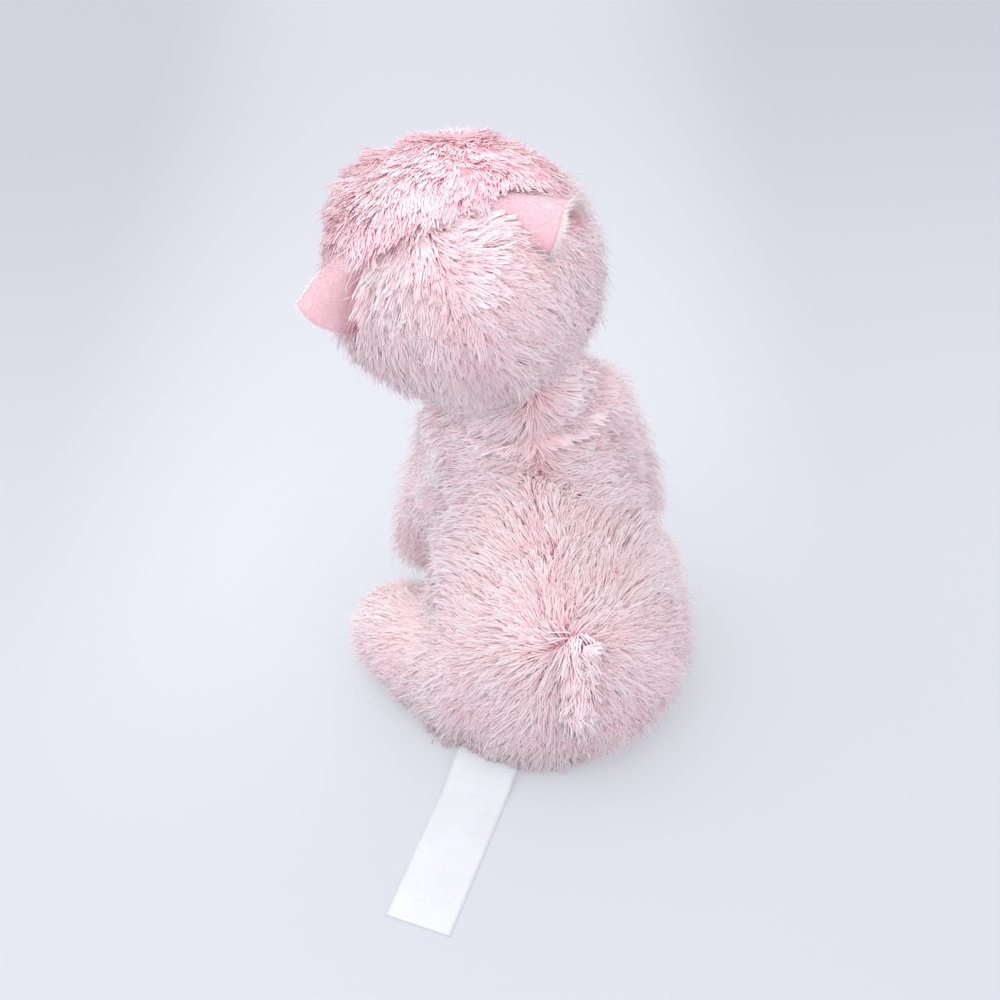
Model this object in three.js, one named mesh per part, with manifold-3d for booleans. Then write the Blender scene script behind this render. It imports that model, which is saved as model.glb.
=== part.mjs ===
// Seated long-pile plush llama with a grain bag inside, for warming.
// Millimetres, +Z up. The toy faces -Y, its left side is +X, and the floor is Z = 0.
import * as THREE from 'three';
import { mergeVertices } from 'three/addons/utils/BufferGeometryUtils.js';
import Module from 'manifold-3d';

const wasm = await Module();
wasm.setup();

// Fabric and running gaps
const PILE_WALL = 4;
const SHORT_PILE_WALL = 2.4;
const LINING_WALL = 1.2;
const SEAT_GAP = 0.3;
const TRIM_GAP = 0.3;
const NECK_GAP = 0.4;
const SWEEP_GAP = 1;
const FLAT_CUT = 0.5;
const OVERRUN = 400;

// Torso, measured over the pressed-down pile
const TORSO_HEIGHT = 147;
const TORSO_HALF_WIDTH = 58;
const TORSO_HALF_DEPTH = 52.5;
const RUMP_SET_BACK = 18;
const SHOULDER_REACH = 45;
const SHOULDER_SWAY = 4;
const TORSO_SEGMENTS = 28;
const TORSO_LINING_SEGMENTS = 22;
// Rows of height, width, depth, forward reach and sideways sway, from the seat up
const TORSO_SECTION_SHARES = [
  [0, 0.8, 0.76, 0.02, 0],
  [0.03, 0.9, 0.87, 0, 0],
  [0.08, 0.97, 0.95, 0, 0],
  [0.17, 1, 1, -0.01, 0],
  [0.27, 0.99, 1, 0.03, 0],
  [0.37, 0.93, 0.95, 0.12, 0.05],
  [0.48, 0.86, 0.87, 0.28, 0.12],
  [0.58, 0.785, 0.79, 0.47, 0.22],
  [0.68, 0.715, 0.72, 0.64, 0.36],
  [0.78, 0.67, 0.66, 0.8, 0.54],
  [0.87, 0.63, 0.61, 0.92, 0.75],
  [0.94, 0.58, 0.56, 0.98, 0.9],
  [0.985, 0.45, 0.43, 1, 1],
  [1, 0.26, 0.25, 1, 1],
];

// Neck, a stuffed ball between the shoulders and the head
const NECK_RADIUS = 27;
const NECK_CENTRE = new THREE.Vector3(6, -26, 150);
const NECK_WALL = 3;
const NECK_FOOT_RISE = 7;
const NECK_TURN_DEG = [-20, 20];
const NECK_NOD_DEG = [-10, 10];
const NECK_LEAN_DEG = [-12, 12];

// Head, leaning over its left shoulder
const HEAD_CENTRE = new THREE.Vector3(27.5, -36, 210);
const HEAD_HALF_WIDTH = 53;
const HEAD_HALF_LENGTH = 53.5;
const HEAD_HALF_HEIGHT = 52.5;
const HEAD_YAW_DEG = -8.5;
const HEAD_ROLL_DEG = 28;
const HEAD_PITCH_DEG = 0;

// Topknot, the curlier panel from ear to ear and down to the brow
const TOPKNOT_WALL = 2.6;
const TOPKNOT_BACK = 1;
const TOPKNOT_BROW = 22;

// Muzzle, of short pile, with its stitched nose and mouth
const MUZZLE_HALF_WIDTH = 24;
const MUZZLE_HALF_HEIGHT = 19;
const MUZZLE_HALF_LENGTH = 23;
const MUZZLE_FORWARD = 45;
const MUZZLE_DROP = 12;
const NOSE_HALF_WIDTH = 8;
const NOSE_HALF_HEIGHT = 4.5;
const NOSE_UP = 7;
const THREAD_RISE = 0.9;
const MOUTH_DROP = 5;
const MOUTH_HALF_WIDTH = 9;
const MOUTH_THREAD = 1.6;

// Eyes, domed buttons whose shanks pass the head cover to a washer inside
const EYE_RADIUS = 6;
const EYE_RISE = 3.6;
const SHANK_RADIUS = 2;
const SHANK_LENGTH = 9;
const WASHER_RADIUS = 6.5;
const WASHER_WALL = 1.4;
const EYE_SIDE_DEG = 33;
const EYE_UP_DEG = 9;

// Ears, pinched at the root and open like a cornet
const EAR_LENGTH = 38;
const EAR_ROOT_HALF_WIDTH = 4.5;
const EAR_HALF_WIDTH = 13;
const EAR_CURL_DEG = 62;
const EAR_ROUNDING = 5;
const EAR_FULL_WIDTH_SHARE = 0.8;
const EAR_ROOT_SINK = 3;
const LEFT_EAR_ROOT = new THREE.Vector3(26, 21, 41);
const LEFT_EAR_TIP = new THREE.Vector3(57, 20, 24);
const RIGHT_EAR_ROOT = new THREE.Vector3(-30, 21, 38.5);
const RIGHT_EAR_TIP = new THREE.Vector3(-60, 20, 20);
const EAR_SWING_DEG = [-3, 30];

// Forelegs, hanging from the shoulders
const LIMB_SWELL = 1.2;
const ARM_ROOT_RADIUS = 16.5;
const ARM_HAND_RADIUS = 14.5;
const LEFT_SHOULDER = new THREE.Vector3(31, -27, 128);
const LEFT_HAND = new THREE.Vector3(45, -37, 58);
const RIGHT_SHOULDER = new THREE.Vector3(-33, -26, 133);
const RIGHT_HAND = new THREE.Vector3(-49, -32, 64);
const ARM_SWING_DEG = [-8, 25];

// Hind legs, splayed on the floor
const LEG_HIP_RADIUS = 24;
const LEG_FOOT_RADIUS = 21.5;
const LEFT_HIP = new THREE.Vector3(42, 19, 25);
const LEFT_FOOT = new THREE.Vector3(64, -10, 21);
const RIGHT_HIP = new THREE.Vector3(-37, 14, 25);
const RIGHT_FOOT = new THREE.Vector3(-55, -25, 21);
const LEG_LIFT_DEG = [0, 8];

// Tail, a short tuft on the back of the rump
const TAIL_LEVEL = 68;
const TAIL_SINK = 3;
const TAIL_REACH = new THREE.Vector3(3, 18, -24);
const TAIL_RADIUS = 8;
const TAIL_SWING_DEG = [-12, 12];

// Care label, caught in the seat seam behind the left hip
const LABEL_WIDTH = 29;
const LABEL_WALL = 0.5;
const LABEL_ROOT = new THREE.Vector3(41.5, 57, 0);
const LABEL_END = new THREE.Vector3(88.6, 127.2, 0);
const LABEL_LIP_HEIGHT = 7;
const LABEL_LIP_RUN = 20;
const LABEL_TUCK = 14;
const LABEL_LIFT_DEG = [0, 40];

// Grain bag and its filling, low in the torso
const BAG_WALL = 1.2;
const BAG_TOP = 82;
const BAG_MOUTH_RADIUS = 9;

const UP = new THREE.Vector3(0, 0, 1);
const REST_BAND_DEG = 0.5;
const HINGE_X = new THREE.Vector3(1, 0, 0);
const HINGE_Y = new THREE.Vector3(0, 1, 0);
const EAR_AXIS = new THREE.Vector3(-1, 0, 0);
const LABEL_AXIS = new THREE.Vector3(0, -1, 0);
const TAIL_TIP_SHARE = 0.65;

const COLOURS = {
  pile: 0xeecdd5,
  curl: 0xf5cdd7,
  ear: 0xf6c6cf,
  earLining: 0xf3bfc9,
  muzzle: 0xf6dde1,
  filling: 0xf2f0ec,
  bag: 0xe9dfcc,
  grain: 0xcaa86c,
  eye: 0x14100f,
  washer: 0xe8e8e4,
  thread: 0x8c4a55,
  label: 0xebeef2,
};

// Closed solids from three.js shapes

function toManifold(geometry) {
  const bare = geometry.clone();
  bare.deleteAttribute('normal');
  bare.deleteAttribute('uv');
  const merged = mergeVertices(bare);
  return new wasm.Manifold(new wasm.Mesh({
    numProp: 3,
    vertProperties: new Float32Array(merged.attributes.position.array),
    triVerts: new Uint32Array(merged.index.array),
  }));
}

function toGeometry(manifold) {
  const mesh = manifold.getMesh();
  const geometry = new THREE.BufferGeometry();
  geometry.setAttribute('position', new THREE.BufferAttribute(mesh.vertProperties, mesh.numProp));
  geometry.setIndex(new THREE.BufferAttribute(mesh.triVerts, 1));
  geometry.computeVertexNormals();
  return geometry;
}

function placed(geometry, matrix) {
  return toManifold(geometry.clone().applyMatrix4(matrix));
}

function ball(radius, centre, segments = 32) {
  const geometry = new THREE.SphereGeometry(radius, segments, segments / 2);
  return placed(geometry, new THREE.Matrix4().makeTranslation(centre));
}

function slab(low, high) {
  const size = new THREE.Vector3(OVERRUN, OVERRUN, high - low);
  const centre = new THREE.Vector3(0, 0, (low + high) / 2);
  return placed(new THREE.BoxGeometry(size.x, size.y, size.z),
    new THREE.Matrix4().makeTranslation(centre));
}

// A closed skin through rings of points, with a pole point at each end.
function skinThroughRings(rings, firstPole, lastPole) {
  const count = rings[0].length;
  const points = [firstPole, ...rings.flat(), lastPole];
  const index = [];
  for (let i = 0; i < count; i += 1) {
    const next = (i + 1) % count;
    const lastRing = 1 + (rings.length - 1) * count;
    index.push(0, 1 + next, 1 + i);
    index.push(points.length - 1, lastRing + i, lastRing + next);
    for (let row = 0; row < rings.length - 1; row += 1) {
      const a = 1 + row * count;
      const b = a + count;
      index.push(a + i, a + next, b + next);
      index.push(a + i, b + next, b + i);
    }
  }
  const geometry = new THREE.BufferGeometry().setFromPoints(points);
  geometry.setIndex(index);
  return geometry;
}

// Torso

function torsoForm(inset, segments = TORSO_SEGMENTS) {
  const rings = TORSO_SECTION_SHARES.map(([height, width, depth, reach, sway]) => {
    const level = inset + height * (TORSO_HEIGHT - 2 * inset);
    const halfWidth = width * TORSO_HALF_WIDTH - inset;
    const halfDepth = depth * TORSO_HALF_DEPTH - inset;
    const centreX = sway * SHOULDER_SWAY;
    const centreY = RUMP_SET_BACK - reach * SHOULDER_REACH;
    return Array.from({ length: segments }, (_, i) => {
      const turn = (i / segments) * 2 * Math.PI;
      return new THREE.Vector3(
        centreX + halfWidth * Math.cos(turn), centreY + halfDepth * Math.sin(turn), level);
    });
  });
  const middle = (ring) => ring.reduce((sum, p) => sum.add(p), new THREE.Vector3())
    .divideScalar(ring.length);
  return toManifold(skinThroughRings(rings, middle(rings[0]), middle(rings[rings.length - 1])));
}

// Where the torso's back stands at a level
function torsoBack(level) {
  const share = level / TORSO_HEIGHT;
  const row = TORSO_SECTION_SHARES.findIndex(([height]) => height >= share);
  const [low, high] = [TORSO_SECTION_SHARES[row - 1], TORSO_SECTION_SHARES[row]];
  const blend = (share - low[0]) / (high[0] - low[0]);
  const depth = THREE.MathUtils.lerp(low[2], high[2], blend);
  const reach = THREE.MathUtils.lerp(low[3], high[3], blend);
  return RUMP_SET_BACK - reach * SHOULDER_REACH + depth * TORSO_HALF_DEPTH;
}

function neckSocket(gap) {
  return ball(NECK_RADIUS + gap, NECK_CENTRE);
}

function torsoCover() {
  return torsoForm(0).subtract(torsoForm(PILE_WALL, TORSO_LINING_SEGMENTS)).subtract(neckSocket(NECK_GAP));
}

function torsoFilling() {
  const inner = torsoForm(PILE_WALL + SEAT_GAP, TORSO_LINING_SEGMENTS);
  return inner.intersect(slab(BAG_TOP + SEAT_GAP, OVERRUN)).subtract(neckSocket(NECK_GAP));
}

function grainBag() {
  const outside = torsoForm(PILE_WALL + SEAT_GAP, TORSO_LINING_SEGMENTS).intersect(slab(0, BAG_TOP));
  const inside = torsoForm(PILE_WALL + SEAT_GAP + BAG_WALL, TORSO_LINING_SEGMENTS)
    .intersect(slab(0, BAG_TOP - BAG_WALL));
  return outside.subtract(inside).subtract(bagMouth(0));
}

function bagMouth(inset) {
  const depth = 2 * BAG_WALL + LABEL_WALL;
  const radius = BAG_MOUTH_RADIUS - inset;
  const mouth = new THREE.CylinderGeometry(radius, radius, depth, 20);
  const centreY = RUMP_SET_BACK - SHOULDER_REACH / 2;
  const middle = BAG_TOP - depth / 2 + BAG_WALL / 2;
  const matrix = new THREE.Matrix4().makeTranslation(0, centreY, middle);
  return placed(mouth, matrix.multiply(new THREE.Matrix4().makeRotationX(Math.PI / 2)));
}

function grainFill() {
  return torsoForm(PILE_WALL + 2 * SEAT_GAP + BAG_WALL, TORSO_LINING_SEGMENTS)
    .intersect(slab(0, BAG_TOP - BAG_WALL - SEAT_GAP));
}

// Head, built about its own centre: -Y is its face, -X its right side

const headFrame = new THREE.Group();
headFrame.position.copy(HEAD_CENTRE);
headFrame.rotation.set(THREE.MathUtils.degToRad(HEAD_PITCH_DEG),
  THREE.MathUtils.degToRad(HEAD_ROLL_DEG), THREE.MathUtils.degToRad(HEAD_YAW_DEG), 'ZYX');
headFrame.updateMatrixWorld();
const intoHead = headFrame.matrixWorld.clone().invert();

function headForm(offset, columns = 30) {
  const geometry = new THREE.SphereGeometry(1, columns, Math.round((columns * 2) / 3));
  return placed(geometry, new THREE.Matrix4().makeScale(
    HEAD_HALF_WIDTH + offset, HEAD_HALF_LENGTH + offset, HEAD_HALF_HEIGHT + offset));
}

function neckInHead(gap) {
  return ball(NECK_RADIUS + gap, NECK_CENTRE.clone().applyMatrix4(intoHead));
}

function eyeDirection(side) {
  const across = THREE.MathUtils.degToRad(EYE_SIDE_DEG) * side;
  const up = THREE.MathUtils.degToRad(EYE_UP_DEG);
  const level = Math.cos(up);
  return new THREE.Vector3(Math.sin(across) * level, -Math.cos(across) * level, Math.sin(up));
}

function alongDirection(direction, distance) {
  const matrix = new THREE.Matrix4().makeRotationFromQuaternion(
    new THREE.Quaternion().setFromUnitVectors(UP, direction));
  return matrix.setPosition(direction.clone().multiplyScalar(distance));
}

// An eye's seat on the head's cover, square to it, raised by a distance
function eyeSeat(side, rise) {
  const direction = eyeDirection(side);
  const halves = new THREE.Vector3(HEAD_HALF_WIDTH, HEAD_HALF_LENGTH, HEAD_HALF_HEIGHT);
  const point = direction.clone().divideScalar(direction.clone().divide(halves).length());
  const outward = point.clone().divide(halves).divide(halves).normalize();
  return alongDirection(outward, rise).premultiply(new THREE.Matrix4().makeTranslation(point));
}

function shankHole(side) {
  const hole = new THREE.CylinderGeometry(SHANK_RADIUS + SEAT_GAP, SHANK_RADIUS + SEAT_GAP,
    2 * SHANK_LENGTH, 16).rotateX(Math.PI / 2);
  return placed(hole, eyeSeat(side, 0));
}

function washerPocket(side) {
  const pocketWall = WASHER_WALL + SHANK_LENGTH - PILE_WALL;
  const pocket = new THREE.CylinderGeometry(WASHER_RADIUS + SEAT_GAP, WASHER_RADIUS + SEAT_GAP,
    pocketWall, 20).rotateX(Math.PI / 2);
  return placed(pocket, eyeSeat(side, -PILE_WALL - pocketWall / 2));
}

function headCover() {
  return headForm(0).subtract(headForm(-PILE_WALL, 22)).subtract(neckInHead(NECK_GAP))
    .subtract(shankHole(1)).subtract(shankHole(-1));
}

function headFilling() {
  return headForm(-PILE_WALL - SEAT_GAP, 22).subtract(neckInHead(NECK_GAP))
    .subtract(washerPocket(1)).subtract(washerPocket(-1));
}

function topknot() {
  const shell = headForm(TOPKNOT_WALL).subtract(headForm(TRIM_GAP));
  const front = new THREE.BoxGeometry(OVERRUN, OVERRUN, OVERRUN);
  const keep = new THREE.Matrix4().makeTranslation(
    0, TOPKNOT_BACK - OVERRUN / 2, TOPKNOT_BROW + OVERRUN / 2);
  return shell.intersect(placed(front, keep));
}

function muzzleForm(offset) {
  const geometry = new THREE.SphereGeometry(1, 24, 16);
  const matrix = new THREE.Matrix4().makeTranslation(0, -MUZZLE_FORWARD, -MUZZLE_DROP);
  return placed(geometry, matrix.multiply(new THREE.Matrix4().makeScale(
    MUZZLE_HALF_WIDTH + offset, MUZZLE_HALF_LENGTH + offset, MUZZLE_HALF_HEIGHT + offset)));
}

function muzzle() {
  return muzzleForm(0).subtract(headForm(TRIM_GAP));
}

// Raised stitching on the muzzle, cut from a skin that stands just clear of it
function stitched(cutter) {
  return muzzleForm(TRIM_GAP + THREAD_RISE).subtract(muzzleForm(TRIM_GAP)).intersect(cutter);
}

function noseStitching() {
  const prism = new THREE.CylinderGeometry(1, 1, MUZZLE_HALF_LENGTH, 20);
  const matrix = new THREE.Matrix4().makeTranslation(
    0, -MUZZLE_FORWARD - MUZZLE_HALF_LENGTH, NOSE_UP - MUZZLE_DROP);
  return stitched(placed(prism, matrix.multiply(
    new THREE.Matrix4().makeScale(NOSE_HALF_WIDTH, 1, NOSE_HALF_HEIGHT))));
}

function mouthStitching() {
  const path = new THREE.QuadraticBezierCurve3(
    new THREE.Vector3(-MOUTH_HALF_WIDTH, 0, MOUTH_THREAD),
    new THREE.Vector3(0, 0, -MOUTH_THREAD - MOUTH_DROP / 2),
    new THREE.Vector3(MOUTH_HALF_WIDTH, 0, MOUTH_THREAD));
  const outline = new THREE.Shape();
  const upper = path.getPoints(10);
  upper.forEach((p, i) => (i ? outline.lineTo(p.x, p.z) : outline.moveTo(p.x, p.z)));
  upper.reverse().forEach((p) => outline.lineTo(p.x, p.z - MOUTH_THREAD));
  const prism = new THREE.ExtrudeGeometry(outline, { depth: MUZZLE_HALF_LENGTH, bevelEnabled: false });
  const matrix = new THREE.Matrix4().makeTranslation(
    0, -MUZZLE_FORWARD - MUZZLE_HALF_LENGTH / 2, -MUZZLE_DROP - MOUTH_DROP);
  return stitched(placed(prism, matrix.multiply(new THREE.Matrix4().makeRotationX(Math.PI / 2))));
}

function eyeButton(side) {
  const profile = [
    new THREE.Vector2(0, -SHANK_LENGTH),
    new THREE.Vector2(SHANK_RADIUS, -SHANK_LENGTH),
    new THREE.Vector2(SHANK_RADIUS, 0),
  ];
  for (let i = 0; i <= 6; i += 1) {
    const turn = (i / 6) * (Math.PI / 2);
    const radius = i < 6 ? EYE_RADIUS * Math.cos(turn) : 0;
    profile.push(new THREE.Vector2(radius, EYE_RISE * Math.sin(turn)));
  }
  const button = placed(new THREE.LatheGeometry(profile, 20).rotateX(Math.PI / 2),
    eyeSeat(side, PILE_WALL / 2));
  return button.subtract(headForm(SEAT_GAP).subtract(shankHole(side)));
}

function washer(side) {
  const ring = new THREE.CylinderGeometry(WASHER_RADIUS, WASHER_RADIUS, WASHER_WALL, 20)
    .rotateX(Math.PI / 2);
  return placed(ring, eyeSeat(side, -PILE_WALL - SEAT_GAP - WASHER_WALL)).subtract(shankHole(side));
}

// Ears, each built about its own root: +Z runs to the tip, +Y is its back

function earPoint(along, across, rise) {
  const swell = Math.sin(Math.min(1, along / EAR_FULL_WIDTH_SHARE) * (Math.PI / 2));
  const halfWidth = EAR_ROOT_HALF_WIDTH + (EAR_HALF_WIDTH - EAR_ROOT_HALF_WIDTH) * swell;
  const curl = THREE.MathUtils.degToRad(EAR_CURL_DEG);
  const arc = halfWidth / Math.sin(curl);
  const turn = across * curl;
  const length = along * (EAR_LENGTH - EAR_ROUNDING * across * across);
  const reach = arc + rise;
  return new THREE.Vector3(reach * Math.sin(turn), reach * Math.cos(turn) - arc, length);
}

function curvedSheet(pointAt, low, high, columns, rows) {
  const grid = (rise) => Array.from({ length: rows + 1 }, (_, j) =>
    Array.from({ length: columns + 1 }, (__, i) => pointAt(j / rows, (2 * i) / columns - 1, rise)));
  const outer = grid(high);
  const inner = grid(low);
  const rings = outer.map((row, j) => [...row, ...inner[j].slice().reverse()]);
  const geometry = new THREE.BufferGeometry();
  const count = rings[0].length;
  const points = rings.flat();
  const index = [];
  const last = (rings.length - 1) * count;
  for (let row = 0; row < rings.length - 1; row += 1) {
    for (let i = 0; i < count; i += 1) {
      const a = row * count + i;
      const b = row * count + ((i + 1) % count);
      index.push(a, b + count, b, a, a + count, b + count);
    }
  }
  for (let i = 0; i < columns; i += 1) {
    const far = count - 1 - i;
    index.push(i, i + 1, far - 1, i, far - 1, far);
    index.push(last + i, last + far - 1, last + i + 1, last + i, last + far, last + far - 1);
  }
  geometry.setFromPoints(points);
  geometry.setIndex(index);
  const solid = toManifold(geometry);
  return solid.volume() < 0 ? toManifold(flipped(geometry)) : solid;
}

function flipped(geometry) {
  const copy = geometry.clone();
  const index = Array.from(copy.index.array);
  for (let i = 0; i < index.length; i += 3) {
    [index[i], index[i + 1]] = [index[i + 1], index[i]];
  }
  copy.setIndex(index);
  return copy;
}

function earFrame(root, tip) {
  const out = root.clone().normalize();
  const reach = tip.clone().sub(root).normalize();
  const across = new THREE.Vector3().crossVectors(out, reach).normalize();
  const back = new THREE.Vector3().crossVectors(reach, across);
  const frame = new THREE.Group();
  frame.position.copy(root).addScaledVector(reach, -EAR_ROOT_SINK);
  frame.quaternion.setFromRotationMatrix(new THREE.Matrix4().makeBasis(across, back, reach));
  frame.updateMatrix();
  return frame;
}

function ear(frame, low, high) {
  const sheet = curvedSheet(earPoint, low, high, 8, 9);
  const intoEar = frame.matrix.clone().invert().elements;
  const head = (gap) => headForm(gap).transform(intoEar);
  const pivot = new THREE.Vector3(0, 0, EAR_ROOT_SINK);
  return clearOfSweep(sheet, head, pivot, EAR_AXIS, EAR_SWING_DEG);
}

// Limbs and what they clear as they swing

function turnAbout(pivot, axis, degrees) {
  return new THREE.Matrix4().makeTranslation(pivot)
    .multiply(new THREE.Matrix4().makeRotationAxis(axis, THREE.MathUtils.degToRad(degrees)))
    .multiply(new THREE.Matrix4().makeTranslation(pivot.clone().negate()));
}

// Takes from a form what its obstacle fills at rest and over the swing, a little wider there.
function clearOfSweep(form, obstacle, pivot, axis, rangeDeg, steps = 3) {
  const swept = obstacle(SWEEP_GAP);
  let free = form.subtract(obstacle(SEAT_GAP));
  for (let i = 0; i <= steps; i += 1) {
    const turn = rangeDeg[0] + ((rangeDeg[1] - rangeDeg[0]) * i) / steps;
    if (Math.abs(turn) > REST_BAND_DEG) {
      free = free.subtract(swept.transform(turnAbout(pivot, axis, -turn).elements));
    }
  }
  return free;
}

function limbForm(root, end, rootRadius, endRadius, inset, columns = 20) {
  const run = root.distanceTo(end);
  const profile = [];
  const capSteps = 5;
  const runSteps = 4;
  for (let i = 0; i <= capSteps; i += 1) {
    const turn = (i / capSteps) * (Math.PI / 2);
    profile.push(new THREE.Vector2(i ? (rootRadius - inset) * Math.sin(turn) : 0,
      -(rootRadius - inset) * Math.cos(turn)));
  }
  for (let i = 1; i < runSteps; i += 1) {
    const share = i / runSteps;
    const taper = THREE.MathUtils.lerp(rootRadius, endRadius, share);
    const radius = taper + LIMB_SWELL * Math.sin(Math.PI * share);
    profile.push(new THREE.Vector2(radius - inset, run * share));
  }
  for (let i = 0; i <= capSteps; i += 1) {
    const turn = (i / capSteps) * (Math.PI / 2);
    profile.push(new THREE.Vector2(i < capSteps ? (endRadius - inset) * Math.cos(turn) : 0,
      run + (endRadius - inset) * Math.sin(turn)));
  }
  const geometry = new THREE.LatheGeometry(profile, columns).rotateX(Math.PI / 2);
  const direction = end.clone().sub(root).normalize();
  const turned = new THREE.Matrix4().makeRotationFromQuaternion(
    new THREE.Quaternion().setFromUnitVectors(UP, direction)).setPosition(root);
  return placed(geometry, turned);
}

// A limb's cover is open where it is sewn to the torso, so its filling meets the torso there.
function limb({ root, end, rootRadius, endRadius, axis, range }) {
  const obstacle = (extra) => (gap) => torsoForm(-gap - extra).add(neckSocket(gap + extra));
  const cut = (inset, extra, columns) => clearOfSweep(
    limbForm(root, end, rootRadius, endRadius, inset, columns), obstacle(extra), root, axis, range);
  const outside = cut(0, 0, 18).intersect(slab(0, OVERRUN));
  const cavity = cut(PILE_WALL, -PILE_WALL, 14).intersect(slab(PILE_WALL - FLAT_CUT, OVERRUN));
  const filling = cut(PILE_WALL + SEAT_GAP, SEAT_GAP, 14)
    .intersect(slab(PILE_WALL - FLAT_CUT + SEAT_GAP, OVERRUN));
  return { cover: outside.subtract(cavity), filling };
}

const TAIL_ROOT = new THREE.Vector3(0, torsoBack(TAIL_LEVEL) - TAIL_SINK, TAIL_LEVEL);
const TAIL_TIP = TAIL_ROOT.clone().add(TAIL_REACH);

function tail() {
  const form = limbForm(TAIL_ROOT, TAIL_TIP, TAIL_RADIUS, TAIL_RADIUS * TAIL_TIP_SHARE, 0, 16);
  return clearOfSweep(form, (gap) => torsoForm(-gap), TAIL_ROOT, HINGE_X, TAIL_SWING_DEG);
}

// Care label: +X runs from the seam to the loose end, +Y across its width

const labelFrame = new THREE.Group();
labelFrame.position.copy(LABEL_ROOT);
labelFrame.rotation.z = Math.atan2(LABEL_END.y - LABEL_ROOT.y, LABEL_END.x - LABEL_ROOT.x);
labelFrame.updateMatrix();

function labelStrip() {
  const run = LABEL_ROOT.distanceTo(LABEL_END);
  const lip = new THREE.CubicBezierCurve3(
    new THREE.Vector3(-LABEL_TUCK, 0, LABEL_LIP_HEIGHT),
    new THREE.Vector3(0, 0, LABEL_LIP_HEIGHT),
    new THREE.Vector3(LABEL_LIP_RUN / 2, 0, 0),
    new THREE.Vector3(LABEL_LIP_RUN, 0, 0));
  const line = [...lip.getPoints(10), new THREE.Vector3(run, 0, 0)];
  const outline = new THREE.Shape();
  line.forEach((p, i) => (i ? outline.lineTo(p.x, p.z) : outline.moveTo(p.x, p.z)));
  line.slice().reverse().forEach((p) => outline.lineTo(p.x, p.z + LABEL_WALL));
  const strip = new THREE.ExtrudeGeometry(outline, { depth: LABEL_WIDTH, bevelEnabled: false });
  const upright = new THREE.Matrix4().makeTranslation(0, LABEL_WIDTH / 2, 0)
    .multiply(new THREE.Matrix4().makeRotationX(Math.PI / 2));
  const intoLabel = labelFrame.matrix.clone().invert().elements;
  const torso = (gap) => torsoForm(-gap).transform(intoLabel);
  const pivot = new THREE.Vector3(-LABEL_TUCK / 2, 0, LABEL_LIP_HEIGHT);
  return clearOfSweep(placed(strip, upright), torso, pivot, LABEL_AXIS, LABEL_LIFT_DEG);
}

function neckCover() {
  const mouth = new THREE.CylinderGeometry(NECK_RADIUS / 2, NECK_RADIUS / 2, OVERRUN, 20)
    .rotateX(Math.PI / 2);
  const towardHead = HEAD_CENTRE.clone().sub(NECK_CENTRE).normalize();
  const opening = placed(mouth, alongDirection(towardHead, OVERRUN / 2).premultiply(
    new THREE.Matrix4().makeTranslation(NECK_CENTRE)));
  return ball(NECK_RADIUS, NECK_CENTRE, 24).subtract(ball(NECK_RADIUS - NECK_WALL, NECK_CENTRE, 20))
    .intersect(slab(NECK_CENTRE.z - NECK_RADIUS + NECK_FOOT_RISE, OVERRUN)).subtract(opening);
}

function neckFilling() {
  return ball(NECK_RADIUS - NECK_WALL - NECK_GAP - SEAT_GAP, NECK_CENTRE, 20);
}

// The assembly

const part = new THREE.Group();
part.name = 'plush_llama';

function finish(colour, roughness, metalness = 0) {
  return () => new THREE.MeshStandardMaterial({ color: colour, roughness, metalness });
}

const FINISH = {
  pile: finish(COLOURS.pile, 0.95),
  curl: finish(COLOURS.curl, 0.95),
  ear: finish(COLOURS.ear, 0.9),
  earLining: finish(COLOURS.earLining, 0.85),
  muzzle: finish(COLOURS.muzzle, 0.9),
  filling: finish(COLOURS.filling, 1),
  bag: finish(COLOURS.bag, 0.9),
  grain: finish(COLOURS.grain, 0.8),
  eye: finish(COLOURS.eye, 0.15),
  washer: finish(COLOURS.washer, 0.5),
  thread: finish(COLOURS.thread, 0.7),
  label: finish(COLOURS.label, 0.45),
};

function addPiece(parent, name, solid, look) {
  const mesh = new THREE.Mesh(toGeometry(solid), FINISH[look]());
  mesh.name = name;
  parent.add(mesh);
  return mesh;
}

// Notes a group's hinge, with its place and axis in the whole toy's frame
function hinge(group, joint, pivot, axis, range) {
  group.userData.hinge = { joint, pivot: pivot.toArray(), axis: axis.toArray(), range };
}

addPiece(part, 'torso_cover', torsoCover(), 'pile');
addPiece(part, 'torso_filling', torsoFilling(), 'filling');
addPiece(part, 'grain_bag', grainBag(), 'bag');
addPiece(part, 'grain_fill', grainFill(), 'grain');

const neckCore = new THREE.Group();
hinge(neckCore, 'neck_turn', NECK_CENTRE, UP, NECK_TURN_DEG);
addPiece(neckCore, 'neck_filling', neckFilling(), 'filling');
part.add(neckCore);

const neck = new THREE.Group();
hinge(neck, 'neck_nod', NECK_CENTRE, HINGE_X, NECK_NOD_DEG);
addPiece(neck, 'neck_cover', neckCover(), 'pile');
part.add(neck);

hinge(headFrame, 'neck_lean', NECK_CENTRE, HINGE_Y, NECK_LEAN_DEG);
addPiece(headFrame, 'head_cover', headCover(), 'pile');
addPiece(headFrame, 'head_filling', headFilling(), 'filling');
addPiece(headFrame, 'topknot', topknot(), 'curl');
addPiece(headFrame, 'muzzle', muzzle(), 'muzzle');
addPiece(headFrame, 'nose_stitching', noseStitching(), 'thread');
addPiece(headFrame, 'mouth_stitching', mouthStitching(), 'thread');
part.add(headFrame);

const HEAD_SIDES = [
  ['left', 1, LEFT_EAR_ROOT, LEFT_EAR_TIP],
  ['right', -1, RIGHT_EAR_ROOT, RIGHT_EAR_TIP],
];

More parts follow.
